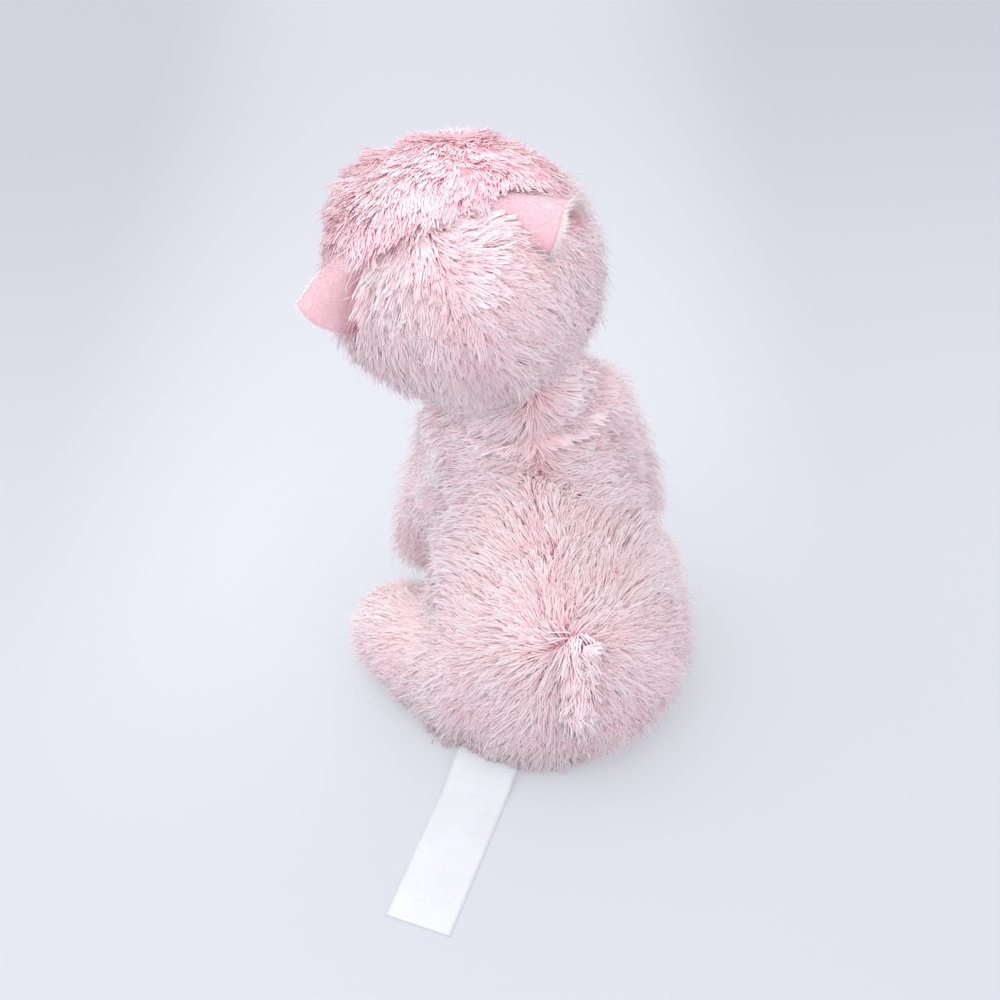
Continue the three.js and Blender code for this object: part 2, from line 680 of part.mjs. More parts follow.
for (const [word, side, root, tip] of HEAD_SIDES) {
  addPiece(headFrame, `eye_${word}`, eyeButton(side), 'eye');
  addPiece(headFrame, `eye_washer_${word}`, washer(side), 'washer');
  const frame = earFrame(root, tip);
  const place = headFrame.matrixWorld.clone().multiply(frame.matrix);
  const pivot = new THREE.Vector3(0, 0, EAR_ROOT_SINK).applyMatrix4(place);
  const axis = EAR_AXIS.clone().transformDirection(place);
  hinge(frame, `ear_${word}_flap`, pivot, axis, EAR_SWING_DEG);
  addPiece(frame, `ear_${word}_shell`, ear(frame, 0, SHORT_PILE_WALL), 'ear');
  addPiece(frame, `ear_${word}_lining`, ear(frame, -LINING_WALL - SEAT_GAP, -SEAT_GAP), 'earLining');
  headFrame.add(frame);
}

function legAxis(hip, foot) {
  return new THREE.Vector3(foot.x - hip.x, foot.y - hip.y, 0).normalize().cross(UP);
}

const ARM = { rootRadius: ARM_ROOT_RADIUS, endRadius: ARM_HAND_RADIUS, range: ARM_SWING_DEG };
const LEG = { rootRadius: LEG_HIP_RADIUS, endRadius: LEG_FOOT_RADIUS, range: LEG_LIFT_DEG };
const LIMBS = [
  ['foreleg_left', 'shoulder_left', LEFT_SHOULDER, LEFT_HAND, ARM],
  ['foreleg_right', 'shoulder_right', RIGHT_SHOULDER, RIGHT_HAND, ARM],
  ['hind_leg_left', 'hip_left', LEFT_HIP, LEFT_FOOT, LEG],
  ['hind_leg_right', 'hip_right', RIGHT_HIP, RIGHT_FOOT, LEG],
];

for (const [name, joint, root, end, { rootRadius, endRadius, range }] of LIMBS) {
  const axis = joint.startsWith('hip') ? legAxis(root, end) : HINGE_X.clone().negate();
  const { cover, filling } = limb({ root, end, rootRadius, endRadius, axis, range });
  const group = new THREE.Group();
  hinge(group, joint, root, axis, range);
  addPiece(group, `${name}_cover`, cover, 'pile');
  addPiece(group, `${name}_filling`, filling, 'filling');
  part.add(group);
}

const tailGroup = new THREE.Group();
hinge(tailGroup, 'tail_swing', TAIL_ROOT, HINGE_X, TAIL_SWING_DEG);
addPiece(tailGroup, 'tail', tail(), 'pile');
part.add(tailGroup);

const labelPivot = new THREE.Vector3(-LABEL_TUCK / 2, 0, LABEL_LIP_HEIGHT)
  .applyMatrix4(labelFrame.matrix);
const labelAxis = LABEL_AXIS.clone().transformDirection(labelFrame.matrix);
hinge(labelFrame, 'label_lift', labelPivot, labelAxis, LABEL_LIFT_DEG);
addPiece(labelFrame, 'care_label', labelStrip(), 'label');
part.add(labelFrame);

export default part;
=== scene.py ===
"""Seated long-pile plush llama: its pile, ears, face, tail tuft and care label.

Metres in Blender's frame, with sizes written in millimetres and turned by MM. The toy faces -Y,
its own left side is +X and the floor is Z = 0.
"""

import logging
import math
from collections.abc import Callable, Sequence
from dataclasses import dataclass, field, replace
from enum import StrEnum

import bmesh
import bpy
import numpy as np
from mathutils import Matrix, Vector
from mathutils.kdtree import KDTree

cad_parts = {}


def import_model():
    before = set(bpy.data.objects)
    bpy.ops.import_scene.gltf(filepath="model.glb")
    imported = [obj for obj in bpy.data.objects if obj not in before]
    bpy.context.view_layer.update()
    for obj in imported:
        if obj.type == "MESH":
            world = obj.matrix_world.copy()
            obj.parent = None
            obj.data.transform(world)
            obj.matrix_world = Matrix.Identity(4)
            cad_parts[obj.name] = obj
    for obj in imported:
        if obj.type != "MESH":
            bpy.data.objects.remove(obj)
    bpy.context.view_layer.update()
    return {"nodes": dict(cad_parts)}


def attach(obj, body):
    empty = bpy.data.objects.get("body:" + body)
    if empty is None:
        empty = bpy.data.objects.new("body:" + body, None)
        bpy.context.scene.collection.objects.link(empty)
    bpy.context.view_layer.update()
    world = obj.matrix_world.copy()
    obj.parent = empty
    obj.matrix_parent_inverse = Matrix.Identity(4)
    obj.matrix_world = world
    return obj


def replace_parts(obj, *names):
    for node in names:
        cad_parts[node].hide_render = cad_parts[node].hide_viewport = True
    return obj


MM = 0.001
LOG = logging.getLogger("plush_llama")
Array = np.ndarray
Colour = tuple[float, float, float]
BAKE_MAP = "OFBake"


# Small vector helpers


def unit(v: Array) -> Array:
    """Rows of v at length one."""
    return v / np.maximum(np.linalg.norm(v, axis=-1, keepdims=True), 1e-9)


def dot(a: Array, b: Array) -> Array:
    """Row by row dot product, kept as a column."""
    return (a * b).sum(-1, keepdims=True)


def smooth(x: Array, low: float, high: float) -> Array:
    """A soft step from 0 at low to 1 at high."""
    t = np.clip((x - low) / (high - low), 0, 1)
    return t * t * (3 - 2 * t)


def soft_curve(x: Array, places: Array, values: Array) -> Array:
    """Values at x of the smooth curve through given places.

    Args:
        x: Where the curve is read.
        places: The places that it passes, in rising order.
        values: Its values there.

    Returns:
        The curve's value at each x.
    """
    slopes = np.gradient(values, places)
    i = np.clip(np.searchsorted(places, x, side="right") - 1, 0, len(places) - 2)
    run = places[i + 1] - places[i]
    t = (x - places[i]) / run
    return (values[i] * (1 + 2 * t) * (1 - t) ** 2 + values[i + 1] * t * t * (3 - 2 * t)
            + run * (slopes[i] * t * (1 - t) ** 2 - slopes[i + 1] * t * t * (1 - t)))


def linear(r: int, g: int, b: int) -> Colour:
    """Linear colour of an 8-bit display colour."""
    return tuple((c / 255 / 12.92) if c < 10 else ((c / 255 + 0.055) / 1.055) ** 2.4 for c in (r, g, b))


class WaveNoise:
    """Smooth, seeded 3-D noise made of summed waves, alike everywhere and quick on arrays."""

    def __init__(self, rng: np.random.Generator, wavelength: float, waves: int = 9) -> None:
        """Draws the waves.

        Args:
            rng: The seeded source of numbers.
            wavelength: Typical wavelength in millimetres.
            waves: How many waves are summed.
        """
        self.ways = unit(rng.normal(size=(waves, 3))) * rng.uniform(0.6, 1.6, (waves, 1))
        self.ways *= 2 * math.pi / wavelength
        self.phases = rng.uniform(0, 2 * math.pi, waves)

    def __call__(self, points: Array) -> Array:
        """Noise at points, mostly between -1 and 1."""
        return np.sin(points @ self.ways.T + self.phases).sum(-1) / math.sqrt(len(self.phases) / 2) / 1.6


# Shader building


class Node:
    """One socket of a node tree, with the operators that its maths needs."""

    def __init__(self, tree: bpy.types.NodeTree, socket: bpy.types.NodeSocket) -> None:
        """Keeps the tree and the socket."""
        self.tree = tree
        self.socket = socket

    @staticmethod
    def link(tree: bpy.types.NodeTree, target: bpy.types.NodeSocket, value: object) -> None:
        """Sets or links one input.

        Args:
            tree: The node tree.
            target: The input socket.
            value: A Node, a number or a colour.
        """
        if isinstance(value, Node):
            tree.links.new(value.socket, target)
        elif isinstance(value, tuple) and len(value) == 3 and len(target.default_value) == 4:
            target.default_value = (*value, 1.0)
        else:
            target.default_value = value

    def _maths(self, operation: str, first: object, second: object) -> "Node":
        """A Math node on two values."""
        return make(self.tree, "ShaderNodeMath", {"operation": operation}, {0: first, 1: second})

    def __add__(self, other: object) -> "Node":
        """Sum."""
        return self._maths("ADD", self, other)

    __radd__ = __add__

    def __sub__(self, other: object) -> "Node":
        """Difference."""
        return self._maths("SUBTRACT", self, other)

    def __rsub__(self, other: object) -> "Node":
        """Difference from a number."""
        return self._maths("SUBTRACT", other, self)

    def __mul__(self, other: object) -> "Node":
        """Product."""
        return self._maths("MULTIPLY", self, other)

    __rmul__ = __mul__

    def __truediv__(self, other: object) -> "Node":
        """Quotient."""
        return self._maths("DIVIDE", self, other)

    def __pow__(self, other: object) -> "Node":
        """Power."""
        return self._maths("POWER", self, other)

    def sine(self) -> "Node":
        """Sine of the value."""
        return self._maths("SINE", self, 0.0)

    def out(self, name: str | int) -> "Node":
        """Another output of the same node."""
        return Node(self.tree, self.socket.node.outputs[name])


def make(tree: bpy.types.NodeTree, kind: str, settings: dict[str, object] | None = None,
         inputs: dict[str | int, object] | None = None, stops: Sequence[tuple[float, Colour]] = ()) -> Node:
    """Adds a node.

    Args:
        tree: The node tree.
        kind: The node's type.
        settings: Attributes set before the inputs.
        inputs: Values or Nodes for its sockets.
        stops: A colour ramp's places and colours.

    Returns:
        The node's first output.
    """
    node = tree.nodes.new(kind)
    for key, value in (settings or {}).items():
        setattr(node, key, value)
    if stops:
        ramp = node.color_ramp
        while len(ramp.elements) < len(stops):
            ramp.elements.new(0.5)
        for element, (place, colour) in zip(ramp.elements, stops):
            element.position = place
            element.color = (*colour, 1.0)
    for key, value in (inputs or {}).items():
        Node.link(tree, node.inputs[key], value)
    return Node(tree, next((s for s in node.outputs if s.enabled), node.outputs[0]) if node.outputs else None)


def mix(tree: bpy.types.NodeTree, share: object, first: object, second: object) -> Node:
    """A colour between two colours.

    Args:
        tree: The node tree.
        share: 0 gives the first colour and 1 the second.
        first: The first colour.
        second: The second colour.

    Returns:
        The mixed colour.
    """
    node = tree.nodes.new("ShaderNodeMix")
    node.data_type = "RGBA"
    for socket, value in ((0, share), (6, first), (7, second)):
        Node.link(tree, node.inputs[socket], value)
    return Node(tree, node.outputs[2])


class Surface:
    """A new material with one Principled shader."""

    def __init__(self, name: str, **constants: object) -> None:
        """Makes the material.

        Args:
            name: The material's name.
            constants: Values set straight on the shader's sockets, with _ for spaces.
        """
        self.material = bpy.data.materials.new(name)
        self.material.use_nodes = True
        self.tree = self.material.node_tree
        self.shader = next(n for n in self.tree.nodes if n.type == "BSDF_PRINCIPLED")
        for key, value in constants.items():
            Node.link(self.tree, self.shader.inputs[key.replace("_", " ")], value)

    def feed(self, socket: str, value: object) -> "Surface":
        """Links or sets one of the shader's inputs."""
        Node.link(self.tree, self.shader.inputs[socket], value)
        return self

    def bump(self, height: Node, distance: float, strength: float = 1.0) -> "Surface":
        """Feeds a bump of a height in metres to the normal."""
        node = make(self.tree, "ShaderNodeBump", None, {"Strength": strength, "Distance": distance, "Height": height})
        return self.feed("Normal", node)

    def place(self) -> Node:
        """The surface's own place in metres."""
        return make(self.tree, "ShaderNodeTexCoord").out("Object")

    def noise(self, scale: float, detail: float = 2.0, roughness: float = 0.5, place: Node | None = None) -> Node:
        """Noise over the surface, from 0 to 1."""
        return make(self.tree, "ShaderNodeTexNoise", None, {
            "Vector": place or self.place(), "Scale": scale, "Detail": detail, "Roughness": roughness})


# Finishes


@dataclass(frozen=True)
class PileFinish:
    """Fibres, coloured by a map whose v runs from root to tip and whose u carries the tint."""

    name: str
    root: Colour
    body: Colour
    tip: Colour
    deep: Colour
    pale: Colour
    roughness: float = 0.9
    sheen: float = 0.25

    def make(self) -> bpy.types.Material:
        """The fibres' material."""
        surface = Surface(self.name, Roughness=self.roughness, Sheen_Weight=self.sheen, Sheen_Roughness=0.5,
                          Specular_IOR_Level=0.15)
        tree = surface.tree
        split = make(tree, "ShaderNodeSeparateXYZ", None, {0: make(tree, "ShaderNodeUVMap", {"uv_map": BAKE_MAP})})
        tint, along = split.out("X"), split.out("Y")
        middle = make(tree, "ShaderNodeValToRGB", None, {0: along}, (
            (0.0, self.root), (0.45, self.body), (1.0, self.tip)))
        shade = make(tree, "ShaderNodeMapRange", {"interpolation_type": "LINEAR"}, {
            "Value": tint, "From Min": 0.5, "From Max": 0.0, "To Min": 0.0, "To Max": 1.0})
        light = make(tree, "ShaderNodeMapRange", {"interpolation_type": "LINEAR"}, {
            "Value": tint, "From Min": 0.5, "From Max": 1.0, "To Min": 0.0, "To Max": 1.0})
        darker = mix(tree, shade * (1 - along * 0.45), middle, self.deep)
        surface.feed("Base Color", mix(tree, light * (0.35 + along * 0.65), darker, self.pale))
        return surface.material


@dataclass(frozen=True)
class BackingFinish:
    """The cloth that the pile stands on, seen only between locks."""

    name: str
    colour: Colour
    dark: Colour

    def make(self) -> bpy.types.Material:
        """The backing's material."""
        surface = Surface(self.name, Roughness=0.95, Specular_IOR_Level=0.1)
        patches = surface.noise(420.0, 3.0)
        surface.feed("Base Color", mix(surface.tree, patches, self.dark, self.colour))
        return surface.bump(surface.noise(1500.0, 2.0), 0.0006).material


@dataclass(frozen=True)
class ShortPileFinish:
    """Short brushed pile: soft patches, fine nap and a sheen at its rims."""

    name: str
    colour: Colour
    shade: Colour
    sheen: float = 0.6
    nap: float = 0.0004

    def make(self) -> bpy.types.Material:
        """The short pile's material."""
        surface = Surface(self.name, Roughness=0.85, Sheen_Weight=self.sheen, Sheen_Roughness=0.45,
                          Specular_IOR_Level=0.15)
        patches = surface.noise(90.0, 3.0)
        fine = surface.noise(2600.0, 2.0, 0.6)
        share = (patches - 0.32) * 1.3 + (fine - 0.5) * 0.5
        surface.feed("Base Color", mix(surface.tree, share, self.shade, self.colour))
        return surface.bump(fine + surface.noise(700.0, 2.0) * 0.6, self.nap).material


@dataclass(frozen=True)
class SatinFinish:
    """Woven satin ribbon: fine weft lines, soft gloss and a little yellowing."""

    name: str
    colour: Colour
    shade: Colour
    thread_mm: float

    def make(self) -> bpy.types.Material:
        """The satin's material."""
        surface = Surface(self.name, Roughness=0.42, Sheen_Weight=0.15, Specular_IOR_Level=0.4)
        tree = surface.tree
        split = make(tree, "ShaderNodeSeparateXYZ", None, {0: make(tree, "ShaderNodeUVMap", {"uv_map": "Weave"})})
        warp = (split.out("X") * (2 * math.pi / self.thread_mm)).sine()
        weft = (split.out("Y") * (2 * math.pi / (2.2 * self.thread_mm))).sine()
        weave = warp * 0.35 + weft * 0.65
        patches = surface.noise(60.0, 2.0)
        surface.feed("Base Color", mix(tree, (patches - 0.3) * 0.9 + weave * 0.06, self.shade, self.colour))
        surface.feed("Roughness", 0.4 + patches * 0.12)
        return surface.bump(weave + patches * 1.5, 0.00006).material


@dataclass(frozen=True)
class GlossFinish:
    """Polished moulded plastic with faint wipe marks."""

    name: str
    colour: Colour
    roughness: float

    def make(self) -> bpy.types.Material:
        """The plastic's material."""
        surface = Surface(self.name, Coat_Weight=0.6, Coat_Roughness=0.04)
        marks = surface.noise(500.0, 3.0)
        surface.feed("Base Color", mix(surface.tree, marks, self.colour, tuple(c * 1.7 + 0.004 for c in self.colour)))
        return surface.feed("Roughness", self.roughness + marks * 0.08).material


@dataclass(frozen=True)
class ThreadFinish:
    """Embroidery thread with a slight sheen and twist lines."""

    name: str
    colour: Colour
    light: Colour

    def make(self) -> bpy.types.Material:
        """The thread's material."""
        surface = Surface(self.name, Roughness=0.5, Sheen_Weight=0.4)
        strands = surface.noise(2200.0, 1.0)
        surface.feed("Base Color", mix(surface.tree, strands, self.colour, self.light))
        return surface.bump(strands, 0.00015).material


@dataclass(frozen=True)
class HiddenFinish:
    """Plain cloth, fibre or grain of the pieces inside the covers."""

    name: str
    colour: Colour
    shade: Colour
    scale: float
    roughness: float = 0.9

    def make(self) -> bpy.types.Material:
        """The inner piece's material."""
        surface = Surface(self.name, Roughness=self.roughness)
        patches = surface.noise(self.scale, 3.0)
        surface.feed("Base Color", mix(surface.tree, patches, self.shade, self.colour))
        return surface.bump(patches, 0.0008).material


# Meshes


def add_mesh(name: str, points: Array, faces: Array, loop_map: Array | None = None,
             smooth_faces: bool = True) -> bpy.types.Object:
    """Adds a mesh object from millimetre points and faces that all have as many corners.

    Args:
        name: The piece's name.
        points: One row for each vertex, in millimetres.
        faces: One row of vertex numbers for each face.
        loop_map: One row of u, v for each face corner, or None.
        smooth_faces: Whether faces are shaded smooth.

    Returns:
        The new object.
    """
    mesh = bpy.data.meshes.new(name)
    corners = faces.shape[1]
    mesh.vertices.add(len(points))
    mesh.vertices.foreach_set("co", (points * MM).astype(np.float32).ravel())
    mesh.loops.add(faces.size)
    mesh.loops.foreach_set("vertex_index", faces.astype(np.int32).ravel())
    mesh.polygons.add(len(faces))
    mesh.polygons.foreach_set("loop_start", np.arange(0, faces.size, corners, dtype=np.int32))
    mesh.polygons.foreach_set("use_smooth", np.full(len(faces), smooth_faces))
    if loop_map is not None:
        layer = mesh.uv_layers.new(name=BAKE_MAP)
        layer.data.foreach_set("uv", loop_map.astype(np.float32).ravel())
    mesh.update(calc_edges=True)
    mesh.validate()
    piece = bpy.data.objects.new(name, mesh)
    bpy.context.scene.collection.objects.link(piece)
    return piece


def dress(piece: bpy.types.Object, material: bpy.types.Material, body: str) -> bpy.types.Object:
    """Gives a piece its material and body, and reports it.

    Args:
        piece: The new piece.
        material: Its material.
        body: The body that it rides on.

    Returns:
        The same piece.
    """
    piece.data.materials.clear()
    piece.data.materials.append(material)
    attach(piece, body)
    LOG.info("%s: %d faces on %s", piece.name, len(getattr(piece.data, "polygons", ())), body)
    return piece


def grid_faces(rows: int, columns: int, closed: bool) -> Array:
    """Quads of a grid of rows by columns of points.

    Args:
        rows: Rows of points.
        columns: Points in each row.
        closed: Whether each row closes on itself.

    Returns:
        One row of four vertex numbers for each quad.
    """
    row, column = np.meshgrid(np.arange(rows - 1), np.arange(columns if closed else columns - 1), indexing="ij")
    following = (column + 1) % columns
    quads = [row * columns + column, row * columns + following,
             (row + 1) * columns + following, (row + 1) * columns + column]
    return np.stack([q.ravel() for q in quads], -1)


# Solid forms that the skins and the pile follow, in millimetres


class Form:
    """A smooth closed form with a signed distance."""

    centre: Array

    def distance(self, points: Array) -> Array:
        """Signed distance, negative inside."""
        raise NotImplementedError

    def normal(self, points: Array) -> Array:
        """Outward direction at points."""
        step = 0.4
        offsets = np.eye(3) * step
        return unit(np.stack([self.distance(points + o) - self.distance(points - o) for o in offsets], -1))

    def settle(self, points: Array, level: float, rounds: int = 5) -> Array:
        """Moves points to where the distance is level."""
        for _ in range(rounds):
            points = points - self.normal(points) * (self.distance(points) - level)[:, None]
        return points

    def scatter(self, rng: np.random.Generator, count: int, level: float) -> Array:
        """Even random points on the form.

        Args:
            rng: The seeded source of numbers.
            count: About how many points.
            level: How far outside the form they lie, in millimetres.

        Returns:
            One row for each point.
        """
        raise NotImplementedError

    def area(self) -> float:
        """About how many square millimetres the form has."""
        raise NotImplementedError

    def skin(self, level: float, rows: int, columns: int) -> tuple[Array, Array]:
        """A closed skin of the form.

        Args:
            level: How far outside the form it lies, in millimetres.
            rows: Rows of points from pole to pole.
            columns: Points in each row.

        Returns:
            The points and the quads.
        """
        raise NotImplementedError


def pole_skin(points: Array, rows: int, columns: int) -> tuple[Array, Array]:
    """Closes a grid of points whose first and last row are each drawn to one place.

    Args:
        points: Rows times columns points.
        rows: Rows of points, with the two pole rows.
        columns: Points in each row.

    Returns:
        The points with one point for each pole, and the triangles.
    """
    inner = points[columns:-columns]
    points = np.concatenate([inner, points[:1], points[-1:]])
    quads = grid_faces(rows - 2, columns, True)
    spin = np.arange(columns)
    following, last = (spin + 1) % columns, (rows - 3) * columns
    first_fan = np.stack([np.full(columns, len(inner)), following, spin], -1)
    last_fan = np.stack([np.full(columns, len(inner) + 1), last + spin, last + following], -1)
    return points, np.concatenate([quads[:, [0, 1, 2]], quads[:, [0, 2, 3]], first_fan, last_fan])


@dataclass
class Ellipsoid(Form):
    """A ball stretched along three turned axes."""

    centre: Array
    halves: Array
    turn: Array = field(default_factory=lambda: np.eye(3))

    def local(self, points: Array) -> Array:
        """Points in the form's own turned axes."""
        return (points - self.centre) @ self.turn

    def distance(self, points: Array) -> Array:
        """Signed distance, near enough close to the surface."""
        inner = self.local(points) / self.halves
        reach = np.linalg.norm(inner, axis=-1)
        slope = np.linalg.norm(inner / self.halves, axis=-1)
        return reach * (reach - 1) / np.maximum(slope, 1e-6)

    def area(self) -> float:
        """About how many square millimetres the form has."""
        return 4 * math.pi * float(np.mean(self.halves)) ** 2

    def scatter(self, rng: np.random.Generator, count: int, level: float) -> Array:
        """Even random points on the form."""
        ways = unit(rng.normal(size=(count, 3)))
        return (ways * (self.halves + level)) @ self.turn.T + self.centre

    def skin(self, level: float, rows: int, columns: int) -> tuple[Array, Array]:
        """A closed skin of the form."""
        down, round_ = np.meshgrid(np.linspace(0, math.pi, rows),
                                   np.arange(columns) * 2 * math.pi / columns, indexing="ij")
        ways = np.stack([np.sin(down) * np.cos(round_), np.sin(down) * np.sin(round_), np.cos(down)], -1)
        points = (ways.reshape(-1, 3) * (self.halves + level)) @ self.turn.T + self.centre
        return pole_skin(points, rows, columns)


@dataclass
class Capsule(Form):
    """A tapered round limb between two points."""

    root: Array
    end: Array
    root_radius: float
    end_radius: float
    swell: float = 1.2

    def __post_init__(self) -> None:
        """Works out the middle."""
        self.centre = (self.root + self.end) / 2

    def share(self, points: Array) -> Array:
        """How far along the limb each point is, from 0 to 1."""
        run = self.end - self.root
        return np.clip((points - self.root) @ run / (run @ run), 0, 1)

    def distance(self, points: Array) -> Array:
        """Signed distance to the limb."""
        share = self.share(points)
        middle = self.root + share[:, None] * (self.end - self.root)
        radius = self.root_radius + share * (self.end_radius - self.root_radius)
        radius = radius + self.swell * np.sin(math.pi * share)
        return np.linalg.norm(points - middle, axis=-1) - radius

    def area(self) -> float:
        """About how many square millimetres the limb has."""
        radius = (self.root_radius + self.end_radius) / 2
        return 2 * math.pi * radius * (float(np.linalg.norm(self.end - self.root)) + 2 * radius)

    def scatter(self, rng: np.random.Generator, count: int, level: float) -> Array:
        """Even random points on the limb.

        Args:
            rng: The seeded source of numbers.
            count: How many places are drawn.
            level: How far they lie from the form's own surface.

        Returns:
            One row for each place.
        """
        run = np.linalg.norm(self.end - self.root)
        along = rng.uniform(-self.root_radius, run + self.end_radius, count)
        way = (self.end - self.root) / run
        side = unit(np.cross(way, rng.normal(size=(count, 3))))
        past = np.where(along < 0, -along / self.root_radius, np.maximum(along - run, 0) / self.end_radius)
        radius = np.where(along < run / 2, self.root_radius, self.end_radius) * np.sqrt(1 - np.minimum(past, 1) ** 2)
        return self.settle(self.root + along[:, None] * way + side * np.maximum(radius, 1)[:, None], level)

    def skin(self, level: float, rows: int, columns: int) -> tuple[Array, Array]:
        """A closed skin of the limb.

        Args:
            level: How far the skin lies from the form's own surface.
            rows: Its rings, with both ends.
            columns: The points in one ring.

        Returns:
            The skin's points and its faces.
        """
        run = np.linalg.norm(self.end - self.root)
        way = (self.end - self.root) / run
        across = unit(np.cross(way, [0.31, 0.87, 0.11]))
        other = np.cross(way, across)
        turn = np.linspace(0, math.pi, rows)
        middle = np.where(turn < math.pi / 2, 0, run)
        body = (turn > 0.47 * math.pi) & (turn < 0.53 * math.pi)
        middle = np.where(body, (turn / math.pi - 0.47) / 0.06 * run, middle)
        radius = np.where(turn < math.pi / 2, self.root_radius, self.end_radius)
        rings = []
        for m, t, r in zip(middle, turn, radius):
            spin = np.arange(columns)[:, None] * 2 * math.pi / columns
            ring = across * np.cos(spin) + other * np.sin(spin)
            rings.append(self.root + way * (m - r * math.cos(t)) + ring * (r * math.sin(t)))
        points = self.settle(np.concatenate(rings), level, 3)
        return pole_skin(points, rows, columns)


@dataclass
class Loft(Form):
    """The torso: level ellipses that swell at the rump and lean forward to the shoulders."""

    height: float = 147.0
    half_width: float = 58.0
    half_depth: float = 52.5
    set_back: float = 18.0
    reach: float = 45.0
    sway: float = 4.0
    shares: tuple[tuple[float, ...], ...] = (
        (0, 0.8, 0.76, 0.02, 0), (0.03, 0.9, 0.87, 0, 0), (0.08, 0.97, 0.95, 0, 0), (0.17, 1, 1, -0.01, 0),
        (0.27, 0.99, 1, 0.03, 0), (0.37, 0.93, 0.95, 0.12, 0.05), (0.48, 0.86, 0.87, 0.28, 0.12),
        (0.58, 0.785, 0.79, 0.47, 0.22), (0.68, 0.715, 0.72, 0.64, 0.36), (0.78, 0.67, 0.66, 0.8, 0.54),
        (0.87, 0.63, 0.61, 0.92, 0.75), (0.94, 0.58, 0.56, 0.98, 0.9), (0.985, 0.45, 0.43, 1, 1),
        (1, 0.26, 0.25, 1, 1))

    def __post_init__(self) -> None:
        """Lays out the rows' tables."""
        table = np.array(self.shares)
        dense = np.linspace(0, 1, 241)
        rows = np.stack([soft_curve(dense, table[:, 0], table[:, i]) for i in range(1, 5)], -1)
        self.levels = dense * self.height
        self.widths = rows[:, 0] * self.half_width
        self.depths = rows[:, 1] * self.half_depth
        self.places_y = self.set_back - rows[:, 2] * self.reach
        self.places_x = rows[:, 3] * self.sway
        self.centre = np.array([0.0, 8.0, 60.0])

    def section(self, level: Array) -> tuple[Array, Array, Array, Array]:
        """Centre x, centre y, half width and half depth at a level."""
        return tuple(np.interp(level, self.levels, row) for row in (
            self.places_x, self.places_y, self.widths, self.depths))

    def distance(self, points: Array) -> Array:
        """Signed distance to the torso, near enough close to the surface.

        Args:
            points: One row for each place, in millimetres.

        Returns:
            One distance for each, below zero inside.
        """
        x, y, wide, deep = self.section(points[:, 2])
        dx, dy = points[:, 0] - x, points[:, 1] - y
        reach = np.sqrt((dx / wide) ** 2 + (dy / deep) ** 2)
        slope = np.sqrt((dx / wide ** 2) ** 2 + (dy / deep ** 2) ** 2)
        side = reach * (reach - 1) / np.maximum(slope, 1e-4)
        side = np.where(reach < 0.3, -0.7 * np.minimum(wide, deep), side)
        return np.maximum(np.maximum(side * 0.93, points[:, 2] - self.height), -points[:, 2])

    def area(self) -> float:
        """About how many square millimetres the torso's sides and top have."""
        return 0.84 * math.pi * (self.half_width + self.half_depth) * self.height

    def scatter(self, rng: np.random.Generator, count: int, level: float) -> Array:
        """Even random points on the torso's sides and top.

        Args:
            rng: The seeded source of numbers.
            count: About how many places are drawn.
            level: How far they lie from the form's own surface.

        Returns:
            One row for each place.
        """
        draws = int(count / 0.8)
        heights = rng.uniform(-2, self.height + 6, draws)
        spin = rng.uniform(0, 2 * math.pi, draws)
        x, y, wide, deep = self.section(heights)
        keep = rng.uniform(size=draws) < (wide + deep) / (self.half_width + self.half_depth)
        heights, spin, x, y, wide, deep = (v[keep] for v in (heights, spin, x, y, wide, deep))
        points = np.stack([x + wide * np.cos(spin), y + deep * np.sin(spin),
                           np.clip(heights, 0.3, self.height - 0.3)], -1)
        top = heights > self.height
        points[top] += (np.array([4.0, -27.0, 147.0]) - points[top]) * rng.uniform(size=(top.sum(), 1))
        return points + self.normal(points) * level

    def skin(self, level: float, rows: int, columns: int) -> tuple[Array, Array]:
        """A closed skin of the torso, flat under the seat.

        Args:
            level: How far the skin lies from the form's own surface.
            rows: Its rings, with both ends.
            columns: The points in one ring.

        Returns:
            The skin's points and its faces.
        """
        shares = np.linspace(0, 1, rows - 2)
        levels = self.height * (0.5 - 0.5 * np.cos(shares * math.pi))
        spin = np.arange(columns) * 2 * math.pi / columns
        rings = []
        for z in levels:
            x, y, wide, deep = self.section(z)
            z_in = min(max(z, -level), self.height + level)
            rings.append(np.stack([x + (wide + level) * np.cos(spin), y + (deep + level) * np.sin(spin),
                                   np.full(columns, z_in)], -1))
        ends = [np.repeat(r.mean(0, keepdims=True), columns, 0) for r in (rings[0], rings[-1])]
        points = np.concatenate([ends[0], *rings, ends[1]])
        points, faces = pole_skin(points, rows, columns)
        return points, faces[:, ::-1]


@dataclass
class Joined(Form):
    """Several forms run softly into one another, as a pile hides the seam between two stuffed pieces."""

    forms: dict[str, Form]
    blend: float = 11.0

    def distance(self, points: Array) -> Array:
        """Signed distance to all of them.

        Args:
            points: One row for each place, in millimetres.

        Returns:
            One distance for each, below zero inside.
        """
        found = None
        for form in self.forms.values():
            gap = form.distance(points)
            if found is None:
                found = gap
                continue
            share = np.clip(0.5 + 0.5 * (gap - found) / self.blend, 0, 1)
            found = gap + (found - gap) * share - self.blend * share * (1 - share)
        return found

    def nearest(self, points: Array) -> Array:
        """Number of the form that each point lies on."""
        return np.argmin([form.distance(points) for form in self.forms.values()], 0)

    def scatter(self, rng: np.random.Generator, count: int, level: float) -> Array:
        """Even random points on all of them.

        Args:
            rng: The seeded source of numbers.
            count: How many places are drawn for each 1,000 square millimetres.
            level: How far they lie from the form's own surface.

        Returns:
            One row for each place.
        """
        found = []
        for form in self.forms.values():
            points = form.scatter(rng, int(count * form.area() / 1000), level)
            gap = self.distance(points)
            points = points[gap > level - self.blend * 0.45]
            found.append(self.settle(points, level, 3))
        return np.concatenate(found)


# The pile


